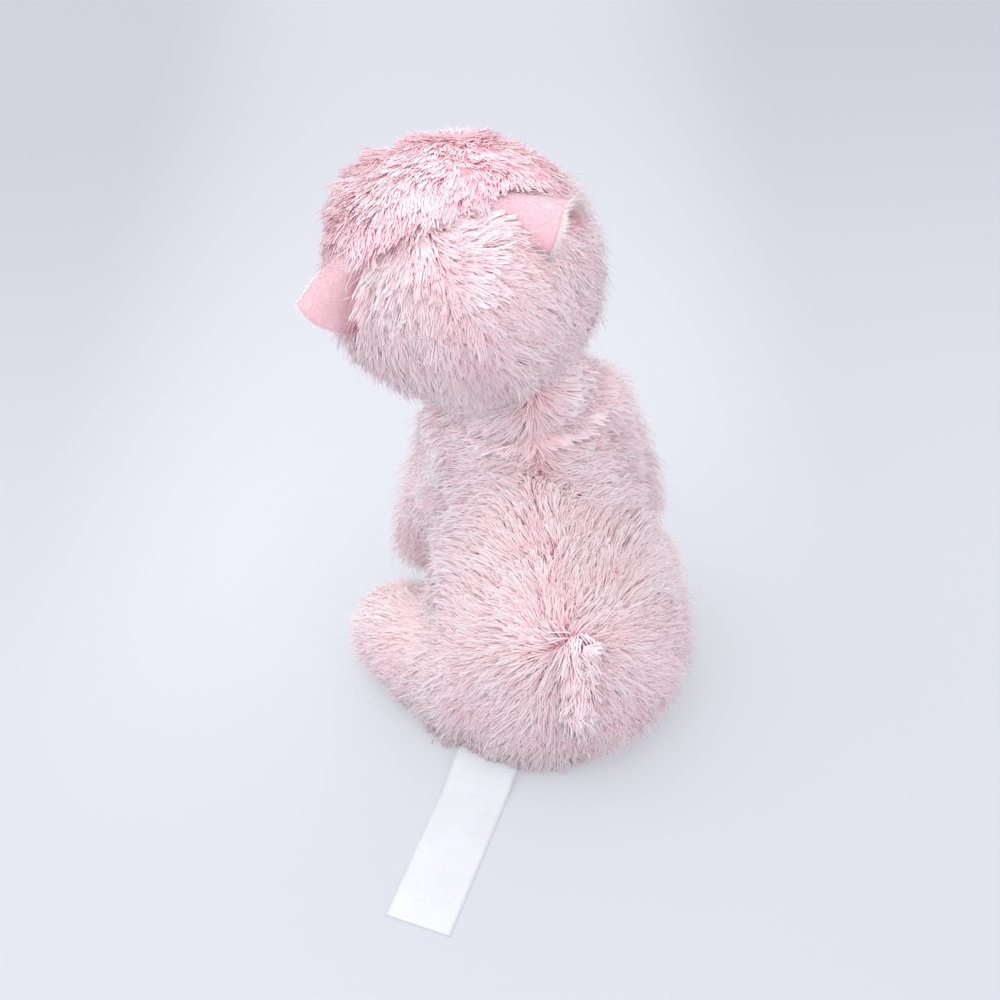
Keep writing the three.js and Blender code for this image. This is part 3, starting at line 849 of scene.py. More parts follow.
@dataclass
class Strands:
    """Grown fibres: one row of points for each, from root to tip, with what their blades need."""

    paths: Array
    normals: Array
    widths: Array
    tints: Array

    def part(self, keep: Array) -> "Strands":
        """The fibres that a mask keeps."""
        return Strands(self.paths[keep], self.normals[keep], self.widths[keep], self.tints[keep])


@dataclass(frozen=True)
class PileLook:
    """How a pile grows, with lengths in millimetres and angles in degrees."""

    length: float = 13.5
    length_spread: float = 0.16
    width: float = 0.6
    thickness: float = 0.4
    root_tilt: float = 50.0
    tip_tilt: float = 80.0
    wander: float = 13.0
    drift: float = 17.0
    curl: float = 0.5
    lock: int = 7
    lock_pull: float = 0.82
    tuft: int = 45
    tuft_pull: float = 0.35
    sections: int = 3
    taper: tuple[float, ...] = (0.8, 1.0, 0.8)
    blunt: float = 0.6
    modelling: float = 0.82


Flow = Callable[[Array, Array], Array]
Amount = Callable[[Array], Array]


class Grower:
    """Grows pile on a form, kept clear of its neighbours and the floor."""

    def __init__(self, seed: int, form: Form, avoid: Sequence[Form], look: PileLook) -> None:
        """Keeps what the pile grows on.

        Args:
            seed: The seed of all its draws.
            form: The form that it grows on.
            avoid: Forms that it has to stay out of.
            look: How it grows.
        """
        self.rng = np.random.default_rng(seed)
        self.form = form
        self.avoid = list(avoid)
        self.look = look
        self.bare: KDTree | None = None
        self.bare_gap = 0.0
        self.bend_noise = WaveNoise(self.rng, 30.0)
        self.lift_noise = WaveNoise(self.rng, 18.0)
        self.tint_noise = WaveNoise(self.rng, 24.0)

    def roots(self, count: int, level: float, keep: Amount | None = None) -> Array:
        """Root places that lie outside every neighbour.

        Args:
            count: How many places are drawn.
            level: How far they lie from the form's own surface.
            keep: Says which points belong to the region.

        Returns:
            One row for each root.
        """
        points = self.form.scatter(self.rng, count, level)
        free = points[:, 2] > 0.3
        for other in self.avoid:
            free &= other.distance(points) > -1.0
        points = points[free]
        return points[keep(points)] if keep else points

    def grow(self, roots: Array, flow: Flow, length_at: Amount | None = None,
             tint_at: Amount | None = None, lift_at: Amount | None = None) -> Strands:
        """Grows one fibre from each root.

        Args:
            roots: One row for each root.
            flow: The direction that the pile lies in, at points with their normals.
            length_at: A factor on the length at each root, or None.
            tint_at: An amount added to the tint at each root, or None.
            lift_at: Degrees by which the fibres stand up more at each root, or None.

        Returns:
            The grown fibres.
        """
        look, rng, count = self.look, self.rng, len(roots)
        normal = self.form.normal(roots)
        lie = self.laid(roots, normal, flow)
        spread = rng.normal(0, math.radians(look.wander), count)
        spread += self.bend_noise(roots) * math.radians(look.drift)
        length = look.length * np.exp(rng.normal(0, look.length_spread, count))
        if length_at is not None:
            length = length * length_at(roots)
        lift = self.lift_noise(roots) * 9 + rng.normal(0, 5, count)
        if lift_at is not None:
            lift = lift + lift_at(roots)
        phase = rng.uniform(0, 2 * math.pi, count)
        points, normals = [roots], [normal]
        for i in range(look.sections):
            share = (i + 0.5) / look.sections
            here = points[-1]
            lie = unit(lie * 0.4 + self.laid(here, normal, flow) * 0.6)
            across = np.cross(normal, lie)
            way = lie * np.cos(spread)[:, None] + across * np.sin(spread)[:, None]
            way = unit(way + across * (look.curl * 0.5 * np.sin(phase + share * 5.0))[:, None])
            tilt = np.radians(look.root_tilt + (look.tip_tilt - look.root_tilt) * share ** 0.8 - lift)
            reach = normal * np.cos(tilt)[:, None] + way * np.sin(tilt)[:, None]
            points.append(self.cleared(here + reach * (length / look.sections)[:, None], 0.5 + 1.2 * share))
            normal = self.form.normal(points[-1])
            normals.append(normal)
        tint = 0.5 + 0.14 * rng.normal(size=count) + 0.1 * self.tint_noise(roots)
        if tint_at is not None:
            tint = tint + tint_at(roots)
        widths = look.width * np.exp(rng.normal(0, 0.2, count))
        strands = Strands(np.stack(points, 1), np.stack(normals, 1), widths, np.clip(tint, 0.02, 0.97))
        strands = self.gathered(self.clear_of_bare(strands), look.tuft, look.tuft_pull, 1.0)
        return self.gathered(strands, look.lock, look.lock_pull, 1.5)

    def keep_off(self, points: Array, gap: float) -> None:
        """Keeps later growth off given points.

        Args:
            points: One row for each point.
            gap: How near a fibre may come, in millimetres.
        """
        self.bare = KDTree(len(points))
        for i, point in enumerate(points):
            self.bare.insert(point, i)
        self.bare.balance()
        self.bare_gap = gap

    def clear_of_bare(self, strands: Strands) -> Strands:
        """The fibres that stay off the points of keep_off."""
        if self.bare is None:
            return strands
        keep = [all(self.bare.find(p)[2] > self.bare_gap for p in path[1:]) for path in strands.paths]
        return strands.part(np.array(keep))

    def laid(self, points: Array, normal: Array, flow: Flow) -> Array:
        """The flow's direction, laid flat on the form."""
        way = flow(points, normal)
        return unit(way - normal * dot(way, normal))

    def cleared(self, points: Array, clearance: float) -> Array:
        """Moves points out of the form, its neighbours and the floor.

        Args:
            points: One row for each point.
            clearance: The least distance kept, in millimetres.

        Returns:
            The moved points.
        """
        for other, level in ((self.form, -3.6 + clearance), *((f, -3.0 + clearance) for f in self.avoid)):
            gap = other.distance(points)
            deep = gap < level
            if deep.any():
                points = points.copy()
                points[deep] += other.normal(points[deep]) * (level - gap[deep])[:, None]
        points[:, 2] = np.maximum(points[:, 2], 0.25 + 0.3 * clearance)
        return points

    def gathered(self, strands: Strands, size: int, pull: float, power: float) -> Strands:
        """Draws the fibres' tips together.

        Args:
            strands: The grown fibres.
            size: About how many come together.
            pull: How far the tips are drawn, from 0 to 1.
            power: How late along the fibre the pull sets in.

        Returns:
            The gathered fibres.
        """
        count = len(strands.paths)
        if size < 2 or pull <= 0 or count < 3 * size:
            return strands
        leaders = self.rng.choice(count, count // size, replace=False)
        tree = KDTree(len(leaders))
        middles = strands.paths[:, 1]
        for i, leader in enumerate(leaders):
            tree.insert(middles[leader], i)
        tree.balance()
        nearest = leaders[np.array([tree.find(p)[1] for p in middles])]
        share = np.linspace(0, 1, strands.paths.shape[1]) ** power
        amount = (self.rng.uniform(0.6, 1.0, (count, 1)) * pull * share)[..., None]
        paths = strands.paths + (strands.paths[nearest] - strands.paths) * amount
        tints = strands.tints * 0.7 + strands.tints[nearest] * 0.3
        return Strands(paths, strands.normals, strands.widths, tints)


def blade_mesh(name: str, strands: Strands, look: PileLook) -> bpy.types.Object:
    """Makes closed, three-sided fibres that taper to a point.

    Args:
        name: The piece's name.
        strands: The grown fibres.
        look: Their width, thickness and taper.

    Returns:
        The new piece.
    """
    count, points = strands.paths.shape[:2]
    rings = points - 1
    paths = strands.paths.copy()
    paths[:, -2] += (paths[:, -1] - paths[:, -2]) * look.blunt
    way = unit(np.gradient(paths, axis=1))
    side = unit(np.cross(way, strands.normals))
    rise = np.cross(side, way)
    half = strands.widths[:, None] * np.array(look.taper)[None, :] / 2
    thick = half * look.thickness / look.width
    verts = np.empty((count, rings * 3 + 1, 3))
    shade = np.empty_like(verts)
    facing = 0.62 * look.modelling
    for corner, (across, up) in enumerate(((-1.0, 0.6), (0.0, -1.2), (1.0, 0.6))):
        verts[:, corner:rings * 3:3] = (paths[:, :rings] + side[:, :rings] * (half * across)[..., None]
                                        + rise[:, :rings] * (thick * up)[..., None])
        shade[:, corner:rings * 3:3] = (strands.normals[:, :rings] * (0.62 if across else 0.15)
                                        + side[:, :rings] * (facing * across)
                                        + rise[:, :rings] * (0.1 if across else -0.8))
    shade[:, rings * 3 - 3:rings * 3] += way[:, rings - 1:rings] * (0.35 * look.modelling)
    verts[:, -1] = paths[:, -1]
    shade[:, -1] = strands.normals[:, -1] * 0.5 + way[:, -1] * (0.8 * look.modelling)
    faces, places = [(0, 1, 2)], [((0.1, 0.0), (0.9, 0.0), (0.5, 0.04))]
    for ring in range(rings - 1):
        low, high = ring / rings, (ring + 1) / rings
        for corner in range(3):
            a, b = ring * 3 + corner, ring * 3 + (corner + 1) % 3
            left, right = corner / 3, (corner + 1) / 3
            faces += [(a, a + 3, b), (b, a + 3, b + 3)]
            places += [((left, low), (left, high), (right, low)), ((right, low), (left, high), (right, high))]
    low = (rings - 1) / rings
    for corner in range(3):
        a, b = (rings - 1) * 3 + corner, (rings - 1) * 3 + (corner + 1) % 3
        faces.append((a, rings * 3, b))
        places.append(((corner / 3, low), ((corner + 0.5) / 3, 1.0), ((corner + 1) / 3, low)))
    first = np.arange(count)[:, None, None] * (rings * 3 + 1)
    all_faces = (np.array(faces)[None] + first).reshape(-1, 3)
    place = np.tile(np.array(places, float)[None], (count, 1, 1, 1))
    place[..., 0] = 0.012 * place[..., 0] + strands.tints[:, None, None]
    place[..., 1] = 0.01 + 0.98 * place[..., 1]
    piece = add_mesh(name, verts.reshape(-1, 3), all_faces, place.reshape(-1, 2))
    piece.data.normals_split_custom_set_from_vertices(unit(shade.reshape(-1, 3)).astype(np.float32))
    return piece


# Sub-assemblies


# Besides random tone, the deep and pale colours of these pile finishes carry painted shade and painted light, set by
# the tint maps of Coat, Head and Ear.
PINK_PILE = PileFinish("pink_pile", root=linear(241, 176, 189), body=linear(252, 224, 231), tip=linear(254, 243, 246),
                       deep=linear(246, 192, 203), pale=linear(255, 251, 252))
# Painted shade: a darker copy of the pink pile for the torso and hind legs. It is the same cloth, with shade painted
# into its colour.
SHADED_PILE = PileFinish("shaded_pile", root=linear(226, 164, 177), body=linear(236, 209, 216), tip=linear(241, 230, 233),
                       deep=linear(230, 176, 188), pale=linear(243, 238, 240))
CURLY_PILE = PileFinish("curly_pile", root=linear(245, 180, 195), body=linear(254, 217, 226), tip=linear(255, 235, 241),
                        deep=linear(248, 188, 201), pale=linear(255, 245, 248))
TUFT_PILE = PileFinish("tuft_pile", root=linear(248, 214, 222), body=linear(253, 234, 239), tip=linear(255, 248, 250),
                       deep=linear(248, 216, 223), pale=linear(255, 252, 252))
EAR_VELOUR = PileFinish("ear_velour", root=linear(248, 204, 215), body=linear(252, 216, 226), tip=linear(254, 230, 237),
                        deep=linear(240, 164, 180), pale=linear(255, 238, 242))
MUZZLE_NAP = PileFinish("muzzle_nap", root=linear(246, 208, 216), body=linear(253, 232, 237), tip=linear(255, 245, 248),
                        deep=linear(248, 216, 223), pale=linear(255, 250, 251))
PINK_BACKING = BackingFinish("pink_backing", colour=linear(240, 178, 190), dark=linear(226, 148, 162))
EAR_PILE = ShortPileFinish("ear_pile", colour=linear(252, 214, 224), shade=linear(243, 190, 203))
EAR_LINING = ShortPileFinish("ear_lining", colour=linear(246, 196, 206), shade=linear(226, 148, 164), nap=0.0007)
MUZZLE_PILE = ShortPileFinish("muzzle_pile", colour=linear(250, 224, 229), shade=linear(242, 204, 212))
LABEL_SATIN = SatinFinish("label_satin", colour=linear(220, 221, 224), shade=linear(203, 205, 210), thread_mm=0.35)
EYE_PLASTIC = GlossFinish("eye_plastic", colour=(0.008, 0.006, 0.006), roughness=0.08)
NOSE_THREAD = ThreadFinish("nose_thread", colour=linear(150, 84, 96), light=linear(186, 118, 128))


class Scene:
    """Camera, lights and floor."""

    def camera(self) -> None:
        """Sets the camera where the photograph was taken from."""
        data = bpy.data.cameras.new("camera")
        data.sensor_fit = "HORIZONTAL"
        data.sensor_width = 36.0
        data.lens = 18.0 / math.tan(math.radians(35.0 / 2))
        data.clip_start, data.clip_end = 0.02, 20.0
        camera = bpy.data.objects.new("camera", data)
        azimuth, elevation = math.radians(166.0), math.radians(47.0)
        back = Vector((math.sin(azimuth) * math.cos(elevation), -math.cos(azimuth) * math.cos(elevation),
                       math.sin(elevation)))
        camera.location = Vector((19.3, -8.2, 103.0)) * MM + back * (690 * MM)
        camera.rotation_mode = "QUATERNION"
        camera.rotation_quaternion = (-back).to_track_quat("-Z", "Y")
        bpy.context.scene.collection.objects.link(camera)
        bpy.context.scene.camera = camera

    def lamp(self, name: str, place: Colour, size: float, power: float, colour: Colour) -> None:
        """Adds a soft square lamp aimed at the toy.

        Args:
            name: The lamp's name.
            place: Where it hangs, in metres.
            size: Its side, in metres.
            power: Its power, in watts.
            colour: The colour of its light.
        """
        data = bpy.data.lights.new(name, "AREA")
        data.size = size
        data.energy = power
        data.color = colour
        lamp = bpy.data.objects.new(name, data)
        lamp.location = place
        way = Vector((0, 0, 0.1)) - Vector(place)
        lamp.rotation_mode = "QUATERNION"
        lamp.rotation_quaternion = way.to_track_quat("-Z", "Y")
        bpy.context.scene.collection.objects.link(lamp)

    def light(self) -> None:
        """Sets soft studio light."""
        self.lamp("key", (0.55, -0.05, 0.95), 1.0, 3.6, (1.0, 0.99, 0.985))
        self.lamp("fill", (-0.6, 1.2, 1.5), 1.8, 3.2, (1.0, 0.99, 0.99))
        self.lamp("above", (0.17, 0.2, 0.74), 0.5, 0.95, (1.0, 0.985, 0.985))
        self.lamp("front", (0.1, -1.6, 1.0), 1.6, 5.0, (1.0, 0.99, 0.99))
        world = bpy.data.worlds.new("studio")
        world.use_nodes = True
        world.node_tree.nodes["Background"].inputs["Color"].default_value = (0.97, 0.98, 1.0, 1.0)
        world.node_tree.nodes["Background"].inputs["Strength"].default_value = 1.24
        scene = bpy.context.scene
        scene.world = world
        scene.view_settings.view_transform = "Standard"
        scene.view_settings.look = "None"

    def floor(self) -> None:
        """Adds the pale floor. It glows with painted light, grows darker away from the camera, and has a brighter
        painted band of light across it.
        """
        # Painted light: the floor glows, which lightens the toy's shadows on it.
        surface = Surface("floor_paper", Roughness=0.85, Specular_IOR_Level=0.2, Emission_Strength=0.42)
        split = make(surface.tree, "ShaderNodeSeparateXYZ", None, {0: surface.place()})
        # Painted fall-off of the light: the floor's colour and glow grow darker away from the camera.
        away = make(surface.tree, "ShaderNodeMapRange", {"interpolation_type": "SMOOTHSTEP"}, {
            "Value": split.out("Y"), "From Min": 0.0, "From Max": -0.55, "To Min": 0.0, "To Max": 1.0})
        # Painted light: a brighter band across the floor, weaker towards the camera.
        across = split.out("X") * -0.97 + split.out("Y") * 0.242 + 0.052
        painted_light_band = make(surface.tree, "ShaderNodeMapRange", {"interpolation_type": "SMOOTHSTEP"}, {
            "Value": across * across, "From Min": 0.001, "From Max": 0.05, "To Min": 1.0, "To Max": 0.0})
        nearer = make(surface.tree, "ShaderNodeMapRange", {"interpolation_type": "SMOOTHSTEP"}, {
            "Value": split.out("Y"), "From Min": 0.12, "From Max": -0.16, "To Min": 0.12, "To Max": 1.0})
        paper = mix(surface.tree, surface.noise(3.0, 2.0), (0.232, 0.243, 0.285), (0.24, 0.252, 0.293))
        surface.feed("Base Color", mix(surface.tree, away, paper, (0.193, 0.203, 0.24)))
        dim = mix(surface.tree, away, (0.91, 0.92, 0.94), (0.745, 0.755, 0.785))
        bright = mix(surface.tree, away, (1.2, 1.21, 1.23), (1.03, 1.04, 1.07))
        surface.feed("Emission Color", mix(surface.tree, painted_light_band * nearer, dim, bright))
        half = 3000.0
        points = np.array([(-half, -half, 0), (half, -half, 0), (half, half, 0), (-half, half, 0)], float)
        floor = add_mesh("floor", points, np.array([[0, 1, 2, 3]]), None, False)
        floor.data.materials.append(surface.material)

    def build(self) -> None:
        """Makes all of it."""
        self.camera()
        self.light()
        self.floor()


def turn_matrix(yaw: float, roll: float) -> Array:
    """Columns are the head's own right-hand axes in the toy's frame."""
    matrix = Matrix.Rotation(math.radians(yaw), 3, "Z") @ Matrix.Rotation(math.radians(roll), 3, "Y")
    return np.array(matrix)


class Toy:
    """The forms of all stuffed pieces, in one place because their piles stay clear of each other."""

    def __init__(self) -> None:
        """Lays out the forms."""
        self.turn = turn_matrix(-8.5, 28.0)
        self.head_centre = np.array([27.5, -36.0, 210.0])
        self.torso = Loft()
        self.head = Ellipsoid(self.head_centre, np.array([53.0, 53.5, 52.5]), self.turn)
        self.neck = Ellipsoid(np.array([6.0, -26.0, 150.0]), np.array([27.0, 27.0, 27.0]))
        self.muzzle = Ellipsoid(self.head_centre + self.turn @ np.array([0.0, -45.0, -12.0]),
                                np.array([24.0, 23.0, 19.0]), self.turn)
        arm, leg = (16.5, 14.5), (24.0, 21.5)
        self.limbs = {
            "foreleg_left": Capsule(np.array([31.0, -27, 128]), np.array([45.0, -37, 58]), *arm),
            "foreleg_right": Capsule(np.array([-25.0, -27, 136]), np.array([-47.5, -32, 64]), 15.0, 14.5),
            "hind_leg_left": Capsule(np.array([42.0, 19, 25]), np.array([64.0, -10, 21]), *leg),
            "hind_leg_right": Capsule(np.array([-37.0, 14, 24]), np.array([-54.0, -23, 18]), 22.0, 18.5),
        }
        self.tail = Capsule(np.array([0.0, 49.9, 68.0]), np.array([3.0, 67.9, 44.0]), 8.0, 5.2, 0.0)
        self.tail_point = np.array([4.0, 54.0, 70.0])

    def seam_x(self, level: Array) -> Array:
        """Where the centre-back seam runs at a level."""
        return np.interp(level, (0, 70, 112, 135, 150), (1.0, 4.0, 8.0, 6.0, 6.0))

    def in_head(self, points: Array) -> Array:
        """Points in the head's own axes, from its centre."""
        return (points - self.head_centre) @ self.turn

    def from_head(self, points: Array) -> Array:
        """The toy's frame from the head's own axes."""
        return points @ self.turn.T + self.head_centre


@dataclass
class Pile:
    """One region's pile: grown, cut into pieces that export whole, and dressed."""

    name: str
    slot: str
    finish: bpy.types.Material
    grower: Grower

    def add(self, body: str, strands: Strands) -> None:
        """Adds grown fibres on one body.

        Args:
            body: The body that they ride on.
            strands: The grown fibres.
        """
        look = self.grower.look
        parts = max(1, math.ceil(len(strands.paths) * (6 * look.sections - 2) / 195000))
        for i in range(parts):
            mask = np.arange(len(strands.paths)) % parts == i
            label = self.name if parts == 1 else f"{self.name}_{i + 1}"
            dress(blade_mesh(label, strands.part(mask), look), self.finish, body)

    def grow(self, body: str, count: int, flow: Flow, level: float = -4.0, keep: Amount | None = None,
             **shape: Amount) -> None:
        """Grows and adds a pile that all rides on one body.

        Args:
            body: The body that it rides on.
            count: How many roots are drawn before hidden ones are dropped.
            flow: The direction that the pile lies in.
            level: How far the roots lie from the form's surface, in millimetres.
            keep: Says which roots belong to the region.
            **shape: length_at and tint_at for the grower.
        """
        self.add(body, self.grower.grow(self.grower.roots(count, level, keep), flow, **shape))


def add_skin(name: str, form: Form, level: float, body: str, material: bpy.types.Material,
             node: str, rows: int = 60, columns: int = 84) -> bpy.types.Object:
    """Adds the closed cover that a pile stands on.

    Args:
        name: The piece's name.
        form: The form that it follows.
        level: How far outside the form it lies, in millimetres.
        body: The body that it rides on.
        material: The cover's material.
        node: The CAD node that it stands for.
        rows: Rows of points from pole to pole.
        columns: Points in each row.

    Returns:
        The new piece.
    """
    points, faces = form.skin(level, rows, columns)
    piece = dress(add_mesh(name, points, faces), material, body)
    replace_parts(piece, node)
    return piece


FLUFF = PileLook(length=11.5, length_spread=0.2, width=0.16, thickness=0.14, root_tilt=38, tip_tilt=68, wander=30,
                 drift=25, curl=1.0, lock=1, tuft=1)


class Finishes:
    """Every finish's material, made once."""

    def __init__(self) -> None:
        """Makes the materials."""
        self.pile = PINK_PILE.make()
        self.curly = CURLY_PILE.make()
        self.tuft = TUFT_PILE.make()
        self.velour = EAR_VELOUR.make()
        self.backing = PINK_BACKING.make()
        self.ear = EAR_PILE.make()
        self.lining = EAR_LINING.make()
        self.muzzle = MUZZLE_PILE.make()
        # The darker pile with painted shade, for the torso and hind legs.
        self.seat = SHADED_PILE.make()
        self.satin = LABEL_SATIN.make()
        self.eye = EYE_PLASTIC.make()
        self.thread = NOSE_THREAD.make()
        self.nap = MUZZLE_NAP.make()


class Coat:
    """The one coat of pile over torso, neck and limbs, with the skins under it and the tail."""

    BODIES = ("torso", "neck", "foreleg_left", "foreleg_right", "hind_leg_left", "hind_leg_right")
    # Painted shade: places beside the tail, with their sizes, where the pile is darkened to stand for the shade in the
    # crevices.
    TAIL_SHADE_SPOTS = (((-20.0, 63.0, 36.0), 13.0), ((6.0, 62.0, 47.0), 9.0))

    def __init__(self, toy: Toy, finishes: Finishes) -> None:
        """Keeps the forms and the finishes."""
        self.toy = toy
        self.finishes = finishes
        self.form = Joined({"torso": toy.torso, "neck": toy.neck, **toy.limbs})

    def flow(self, points: Array, normal: Array) -> Array:
        """The pile's lie: a fan from the tail, sideways from the seam above it, down elsewhere.

        Args:
            points: One row for each place, in millimetres.
            normal: The form's outward directions there.

        Returns:
            One direction for each.
        """
        toy = self.toy
        away = points - toy.tail_point
        reach = np.linalg.norm(away, axis=-1, keepdims=True)
        fan = (1 - smooth(reach, 46, 92)) * smooth(normal[:, 1:2], -0.5, 0.1)
        side = np.tanh((points[:, 0] - toy.seam_x(points[:, 2])) / 8)[:, None]
        upper = smooth(points[:, 2], 85, 118)[:, None] * smooth(normal[:, 1], -0.6, 0.2)[:, None]
        lateral = side * np.array([[1.0, 0.0, 0.0]]) + np.array([[0.0, 0.0, -0.35]])
        down = np.array([[0.0, 0.0, -1.0]]) + normal * np.array([[0.25, 0.25, 0.0]])
        way = fan * unit(away) + (1 - fan) * (upper * lateral + (1 - upper) * unit(down))
        core = toy.torso.distance(points)
        for name, limb in toy.limbs.items():
            own = smooth(core - limb.distance(points), -3, 9)[:, None]
            along = unit(limb.end - limb.root)[None]
            own = own * smooth(dot(normal, along), -0.85, -0.1)
            drop = 0.5 if name.startswith("foreleg") else 0.3
            way = way * (1 - own) + own * (along + np.array([[0.0, 0.0, -drop]]) + way * 0.5)
        return way

    def seam_dip(self, points: Array) -> Array:
        """How close points are to the centre-back seam, from 0 to 1."""
        gap = np.abs(points[:, 0] - self.toy.seam_x(points[:, 2]))
        return np.where(points[:, 1] > -20, 1 - smooth(gap, 0.5, 5), 0)

    def length_at(self, points: Array) -> Array:
        """Shorter pile on the limbs and along the seam.

        Args:
            points: One row for each place, in millimetres.

        Returns:
            One share of the full length for each.
        """
        core = self.toy.torso.distance(points)
        limb = np.min([f.distance(points) for f in self.toy.limbs.values()], 0)
        short = smooth(core - limb, 0, 12) * np.where(points[:, 2] > 50, 0.3, 0.1)
        corner = smooth(points @ np.array([-0.75, 0.66, -0.35]), 25, 52) * 0.25
        return (1 - 0.25 * self.seam_dip(points)) * (1 - short) * (1 - corner) * (1 + 0.25 * self.hem(points))

    def tint_at(self, points: Array) -> Array:
        """Pinker pile along the seam, painted shade beside the tail, and painted light that makes the pile on the left
        foreleg paler.
        """
        # Painted light: the pile on the left foreleg is made paler, standing in for more light falling on it.
        foreleg_painted_light = 1 - smooth(self.toy.limbs["foreleg_left"].distance(points), 2, 8)
        # Painted shade: darker pile beside the tail, where shade falls in the crevices.
        beside = sum(np.exp(-(np.linalg.norm(points - np.array(place), axis=-1) / size) ** 2)
                     for place, size in self.TAIL_SHADE_SPOTS)
        return 0.2 * foreleg_painted_light - 0.32 * self.seam_dip(points) - 0.42 * beside

    def lift_at(self, points: Array) -> Array:
        """Degrees that the pile stands up more: at the floor, and where the fan meets the shoulders' pile."""
        meeting = np.exp(-np.sum((points - np.array([5.0, 13.0, 127.0])) ** 2, -1) / 90)
        return 26 * self.hem(points) + 34 * meeting

    def hem(self, points: Array) -> Array:
        """How near points are to the floor behind the left hind leg, where the pile splays out."""
        return (1 - smooth(points[:, 2], 8, 32)) * smooth(points[:, 0], -15, 15) * smooth(points[:, 1], 0, 25)

    def build(self) -> None:
        """Makes the skins and the pile."""
        toy, made = self.toy, self.finishes
        add_skin("torso_skin", toy.torso, -3.8, "torso", made.backing, "torso_cover")
        add_skin("neck_skin", toy.neck, -2.8, "neck", made.backing, "neck_cover", 30, 48)
        for name, form in toy.limbs.items():
            add_skin(f"{name}_skin", form, -3.7, name, made.backing, f"{name}_cover", 48, 56)
        for name in ("foreleg_right", "hind_leg_right"):
            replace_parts(bpy.data.objects[f"{name}_skin"], f"{name}_filling")
        grower = Grower(11, self.form, [toy.head], PileLook(drift=24, curl=0.8))
        grower.keep_off(CareLabel().above(), 1.6)
        strands = grower.grow(grower.roots(2100, -4.0), self.flow, self.length_at,
                              self.tint_at, self.lift_at)
        owner = self.form.nearest(strands.paths[:, 0])
        fluff = Grower(12, self.form, [toy.head], FLUFF)
        fluff.keep_off(CareLabel().above(), 1.6)
        haze = fluff.grow(fluff.roots(700, -3.0), self.flow)
        haze_owner = self.form.nearest(haze.paths[:, 0])
        for i, body in enumerate(self.BODIES):
            # The torso and hind legs take the darker pile with painted shade. The head and forelegs take the plain pink
            # pile.
            finish = made.seat if body in ("torso", "hind_leg_left", "hind_leg_right") else made.pile
            Pile(f"{body}_pile", "pile_fabric", finish, grower).add(body, strands.part(owner == i))
            Pile(f"{body}_fluff", "pile_fabric", made.pile, fluff).add(body, haze.part(haze_owner == i))
        self.tail()

    def tail(self) -> None:
        """Makes the tail tuft: loose long locks and two flat ribbed ones."""
        toy, made = self.toy, self.finishes
        points, faces = toy.tail.skin(-3.5, 24, 28)
        core = dress(add_mesh("tail_core", points, faces), made.backing, "tail")
        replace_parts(core, "tail")
        look = PileLook(length=14, root_tilt=42, tip_tilt=70, wander=34, drift=26, lock=9, lock_pull=0.85, tuft=1)
        way = toy.tail.end - toy.tail.root
        grower = Grower(13, toy.tail, [toy.torso], look)
        Pile("tail_tuft", "pile_fabric", made.pile, grower).grow(
            "tail", 1800, lambda p, n: unit(way)[None] * 1.2 + unit(p - toy.tail.root) * 0.5, -3.0)
        rib = PileLook(length=9, width=0.8, thickness=0.5, taper=(0.7, 1.0, 0.9), blunt=0.6)
        rng, paths, normals = np.random.default_rng(15), [], []
        for place, middle in (((0.0, 59.0, 75.0), (-1.0, 0.2, -0.3)), ((2.9, 65.0, 60.5), (-0.75, 0.2, 0.6))):
            root, along = np.array(place), unit(np.array(middle))
            face = unit(np.array([-0.1, 0.8, 0.6]) - along * (np.array([-0.1, 0.8, 0.6]) @ along))
            across = np.cross(face, along)
            for turn in np.linspace(-0.42, 0.42, 13):
                way = along * math.cos(turn) + across * math.sin(turn) + face * rng.normal(0, 0.05)
                steps = np.array([0, 3.0, 6.0, 9.0])[:, None] * rng.uniform(0.7, 1.05)
                paths.append(root + across * turn * 3.0 + way * steps - face * (steps / 9) ** 2 * 1.6)
                normals.append(np.repeat(face[None], 4, 0))
        count = len(paths)
        fans = Strands(np.array(paths), np.array(normals), np.full(count, 0.8), rng.uniform(0.1, 0.6, count))
        Pile("tail_ribbed_locks", "pile_fabric", made.tuft, Grower(14, toy.tail, [], rib)).add("tail", fans)


